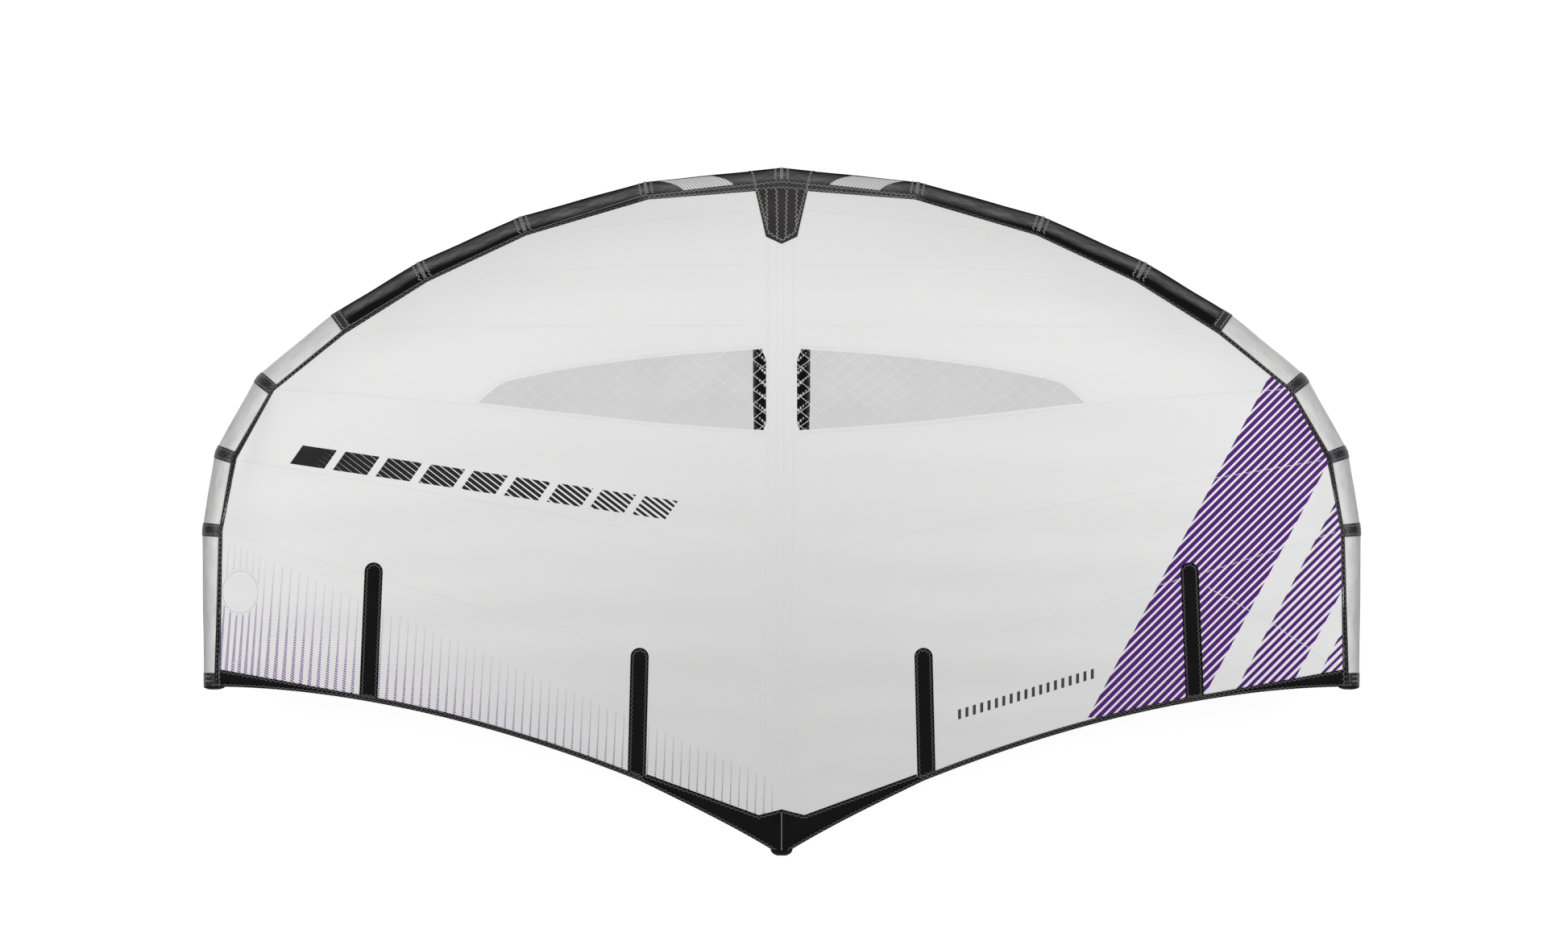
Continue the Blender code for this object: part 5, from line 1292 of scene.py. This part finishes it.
def make_handle(name):
    """Webbing handle with a foam grip; its ends turn about the handle's joint."""
    half, drop, root = HANDLE_SPREADS[name] / 2, 0.078, 0.0100
    half_width, half_thick = 0.0125, 0.0015
    grip_half, grip_radius = half * 0.58, 0.0164
    origin, along = joint(f"{name}_swing")
    down = np.array([0, along[2], -along[1]]) if abs(along[0]) < 0.5 else -UP
    across = np.cross(along, down)

    def at(flat, shift):
        """Points from places in the handle's own plane, shifted across it."""
        return origin + flat[:, :1] * along + flat[:, 1:] * down + np.asarray(shift)[..., None] * across

    left = [
        (-half, -root), (-half, -0.004), (-half + 0.002, 0.006), (-grip_half - 0.014, drop - 0.010),
        (-grip_half, drop - 0.0005), (-grip_half + 0.016, drop),
    ]
    path = smooth_path(np.array(left + [(-out, low) for out, low in left[::-1]]), 8)
    normal = sideways(path)
    foot = np.sqrt(np.clip(root ** 2 - path[:, 1] ** 2, 1e-8, 1))
    reach = np.where(path[:, 1] < 0, foot, mix(root, half_width, ease(path[:, 1] / 0.010)))
    upper = [(1, 0.6), (0.96, 1.0), (0.5, 1.0), (0, 1.0), (-0.5, 1.0), (-0.96, 1.0), (-1, 0.6)]
    section = upper + [(-out, -thick) for out, thick in upper]
    rings = [at(path + normal * half_thick * thick, reach * out) for out, thick in section]
    uvs = (distances(path)[:, None], np.array([out * half_width for out, _ in section]))
    add_grid(
        f"{name}_webbing", np.stack(rings, axis=1), "webbing", uvs, closed=True, body=name,
        stands_for=f"{name}_strap",
    )
    keep = path[:, 1] > 0.004
    way = -(normal[keep][:, :1] * along + normal[keep][:, 1:] * down)
    for shift in (-0.0085, 0.0085):
        for face in (way, -way):
            stitch(f"{name}_thread", "webbing", at(path[keep], shift) + face * 0.0016, face)

    reach = grip_half - 0.0165 / 2
    ends = np.array([0.0, 0.0015, 0.005, 0.010, 0.016])
    rounded = np.array([0.80, 0.90, 0.975, 0.998, 1.0])
    outs = np.concatenate([-reach + ends, np.linspace(-reach + 0.03, reach - 0.03, 15), reach - ends[::-1]])
    sizes = np.concatenate([rounded, np.ones(15), rounded[::-1]])
    sizes = sizes * (1 - 0.020 * np.cos(outs / reach * pi / 2) ** 2)
    turns = np.linspace(0, FULL_TURN, 49)[:-1]
    ribs = 1 - 0.012 * np.cos(turns * 12) ** 8
    rings = []
    for out, size in zip(outs, sizes):
        wide, deep = (wave(turns) * (grip_radius * size * ribs) for wave in (np.cos, np.sin))
        rings.append(origin + along * out + down * drop + wide[:, None] * across + deep[:, None] * down)
    caps = []
    for ring, shift in ((rings[0], -0.0002), (rings[-1], 0.0002)):
        hub = ring.mean(axis=0) + along * shift
        caps.append(hub + (ring - hub) * 0.25)
    grid = np.stack([caps[0], *rings, caps[1]])
    more = {"turn": -1, "closed": True, "body": name, "stands_for": f"{name}_grip"}
    item = add_grid(
        f"{name}_foam", grid, "foam", (np.arange(len(grid))[:, None] * 0.01, turns * 0.0165), **more
    )


def make_feet():
    """Sewn patches under the handles' feet."""
    reach, thread_lift = 0.028, 0.0003
    for name in ("front_handle", "rear_handle"):
        origin, along = joint(f"{name}_swing")
        for tag, way in (("aft", -1), ("fore", 1)):
            centre = origin[1] + along[1] * way * HANDLE_SPREADS[name] / 2
            ys = np.linspace(centre - 0.034, centre + 0.034, 9)
            y, a = lattice(ys, np.linspace(UNDER - 0.36, UNDER + 0.36, 13))
            add_grid(f"{name}_foot_{tag}", strut(y, a, 0.00022)[0], "webbing", (y, a * AROUND), turn=-1)
            for turn in (-0.30, -0.20, 0.20, 0.30):
                sew_strut("foot", np.linspace(centre - reach, centre + reach, 12), UNDER + turn, thread_lift)
            for shift in (-reach, reach):
                sew_strut("foot", centre + shift, np.linspace(UNDER - 0.30, UNDER + 0.30, 12), thread_lift)
    place, span = 0.100 / FIRST_OUT, 0.032 / FIRST_OUT
    for side_name, side in SIDES[::-1]:
        places = np.linspace(place - span, place + span, 9)
        p, a = lattice(places, np.linspace(UNDER - 0.25, UNDER + 0.25, 11))
        add_grid(f"nose_handle_foot_{side_name}", tube(p, a, 0.00095)[0], "webbing", (p, a * 0.12), side)
        for turn in (-0.20, 0.20):
            line = place + np.linspace(-0.8, 0.8, 8) * span
            sew_tube("strut_light", "nose_foot", side, line, UNDER + turn, 0.0011)


# Hose and hardware

HARD_NODES = {
    "valve_base": "valve", "valve_poppet": "plastic", "valve_cap": "plastic", "hose_clamp": "plastic",
    "clamp_lever": "plastic", "hose_port_leading_edge": "valve", "hose_port_strut": "valve",
    "leash_ring": "steel", "leash_tab": "webbing",
}


def make_hose():
    """Inflation hose along its route from the leading edge to the strut, as in the part's source."""
    place, angle, neck, bend, radius = 0.160 / FIRST_OUT, radians(-142.0), 0.0143, 0.135, 0.0070
    start = tube(place, angle)[0]
    axle = mix(CENTRES[0], CENTRES[1], place) + UP * RISE
    start, start_way = mirror(start, -1), mirror(unit(start - axle), -1)
    strut_y, turn, step = STRUT_FRONT - 0.2489, radians(205.0), 0.018
    end, ahead, behind = (strut(y, turn)[0] for y in (strut_y, strut_y + step, strut_y - step))
    end_way = unit(np.cross(ahead - behind, np.array([-sin(turn), 0, cos(turn)])))
    first, last = start + start_way * neck, end + end_way * neck
    a, d = first + start_way * 0.014, last + end_way * 0.014
    b, c = a + start_way * bend, d + end_way * bend
    t = np.linspace(0, 1, 41)[:, None]
    curve = a * (1 - t) ** 3 + 3 * b * t * (1 - t) ** 2 + 3 * c * t * t * (1 - t) + d * t ** 3
    path = np.vstack([[first], curve, [last]])
    run = unit(np.gradient(path, axis=0))
    side = unit(np.cross(run, np.array([0.3, 0.2, 1.0])))
    lift = np.cross(side, run)
    turns = np.linspace(0, FULL_TURN, 25)[:-1, None]
    rings = path[:, None] + radius * (side[:, None] * np.cos(turns) + lift[:, None] * np.sin(turns))
    add_grid("hose_tube", rings, "hose", closed=True, stands_for="inflation_hose")


def dress_nodes():
    """Finishes and softened edges for the hard pieces that show as packed."""
    for name, finish in HARD_NODES.items():
        node = frame["nodes"][name]
        material, slot = FINISHES[finish]
        node.data.materials.clear()
        node.data.materials.append(material)
        if name != "leash_ring":
            bevel = node.modifiers.new("soft_edges", "BEVEL")
            bevel.width = 0.0004
            bevel.segments = 2
            bevel.limit_method = "ANGLE"
            bevel.angle_limit = radians(40)


def finish_threads():
    """One piece for each kind of thread and place."""
    for key, (points, faces) in THREADS.items():
        place, look = key.rsplit("_", 1)
        finish, body = ("thread_light", place) if look == "thread" else (f"thread_{look}", "wing")
        add_mesh(f"stitching_{key}", points, faces, finish, body=body, smooth=False)


# Stage

def make_floor():
    """Paper under the wing, which glows for whatever looks at it: straight, mirrored or through film."""
    half = 30
    mesh = bpy.data.meshes.new("floor")
    corners = [(x * half, y * half, 0) for x, y in ((-1, -1), (1, -1), (1, 1), (-1, 1))]
    mesh.from_pydata(corners, [], [(0, 1, 2, 3)])
    floor = bpy.data.objects.new("floor", mesh)
    floor.location.z = -0.0005
    SCENE.collection.objects.link(floor)
    material = bpy.data.materials.new("floor_paper")
    material.use_nodes = True
    tree = material.node_tree
    tree.nodes.clear()
    path = tree.nodes.new("ShaderNodeLightPath")
    rays = ("Camera", "Glossy", "Transmission")
    camera, glossy, through = (Value(tree, path.outputs[f"Is {ray} Ray"]) for ray in rays)
    glow = tree.nodes.new("ShaderNodeEmission")
    tree.links.new((camera.most(glossy).most(through) * 0.82).socket, glow.inputs["Strength"])
    join = tree.nodes.new("ShaderNodeAddShader")
    tree.links.new(new_node(tree, "BsdfDiffuse", Color=(*grey(0.45), 1)).outputs[0], join.inputs[0])
    tree.links.new(glow.outputs[0], join.inputs[1])
    tree.links.new(join.outputs[0], tree.nodes.new("ShaderNodeOutputMaterial").inputs["Surface"])
    mesh.materials.append(material)


def make_world():
    """White surroundings that light the wing softly."""
    world = bpy.data.worlds.new("studio")
    SCENE.world = world
    world.use_nodes = True
    tree = world.node_tree
    back = tree.nodes["Background"]
    back.inputs["Color"].default_value = (1, 1, 1, 1)
    back.inputs["Strength"].default_value = 0.24
    white = new_node(tree, "Background", Strength=1.0)
    path = tree.nodes.new("ShaderNodeLightPath")
    blend = tree.nodes.new("ShaderNodeMixShader")
    for k, output in enumerate((path.outputs["Is Camera Ray"], back.outputs[0], white.outputs[0])):
        tree.links.new(output, blend.inputs[k])
    tree.links.new(blend.outputs[0], tree.nodes["World Output"].inputs["Surface"])


def make_lamp(name, place, target, size, power):
    """Round soft lamp that points at a target."""
    light = bpy.data.lights.new(name, "AREA")
    light.shape = "DISK"
    light.size = size
    light.energy = power
    item = bpy.data.objects.new(name, light)
    item.location = place
    item.rotation_euler = (Vector(target) - Vector(place)).to_track_quat("-Z", "Y").to_euler()
    SCENE.collection.objects.link(item)


def make_camera():
    """Camera straight over the wing, with the image's own scale and centre."""
    camera = bpy.data.cameras.new("camera")
    camera.type = "ORTHO"
    camera.ortho_scale = IMAGE_WIDTH * PIXEL
    item = bpy.data.objects.new("camera", camera)
    item.location = (*spot(IMAGE_WIDTH / 2, IMAGE_HEIGHT / 2), 8.0)
    SCENE.collection.objects.link(item)
    SCENE.camera = item
    SCENE.view_settings.view_transform = "Standard"


def main():
    """Dress the wing and light it."""
    make_tube_panels()
    make_bands()
    make_tube_seams()
    make_seam_tapes()
    make_scuff_pads()
    make_strut()
    make_tacks()
    make_strut_end()
    make_bladders()
    make_canopy()
    make_panel_seams()
    make_rear_pieces()
    make_nose_patch()
    make_pockets()
    for name in HANDLE_SPREADS:
        make_handle(name)
    make_feet()
    make_hose()
    dress_nodes()
    finish_threads()
    make_floor()
    make_world()
    make_lamp("front_lamp", (0.0, 5.2, 5.0), (0, 0.0, 0.4), 4.0, 137)
    make_lamp("rear_lamp", (0.0, -4.5, 4.5), (0, -0.8, 0.3), 3.0, 80)
    for name, side in (("right_lamp", 1), ("left_lamp", -1)):
        make_lamp(name, (side * 2.2, 0.6, 3.9), (side * 0.8, 0.0, 0.4), 2.6, 46)
    make_camera()


main()
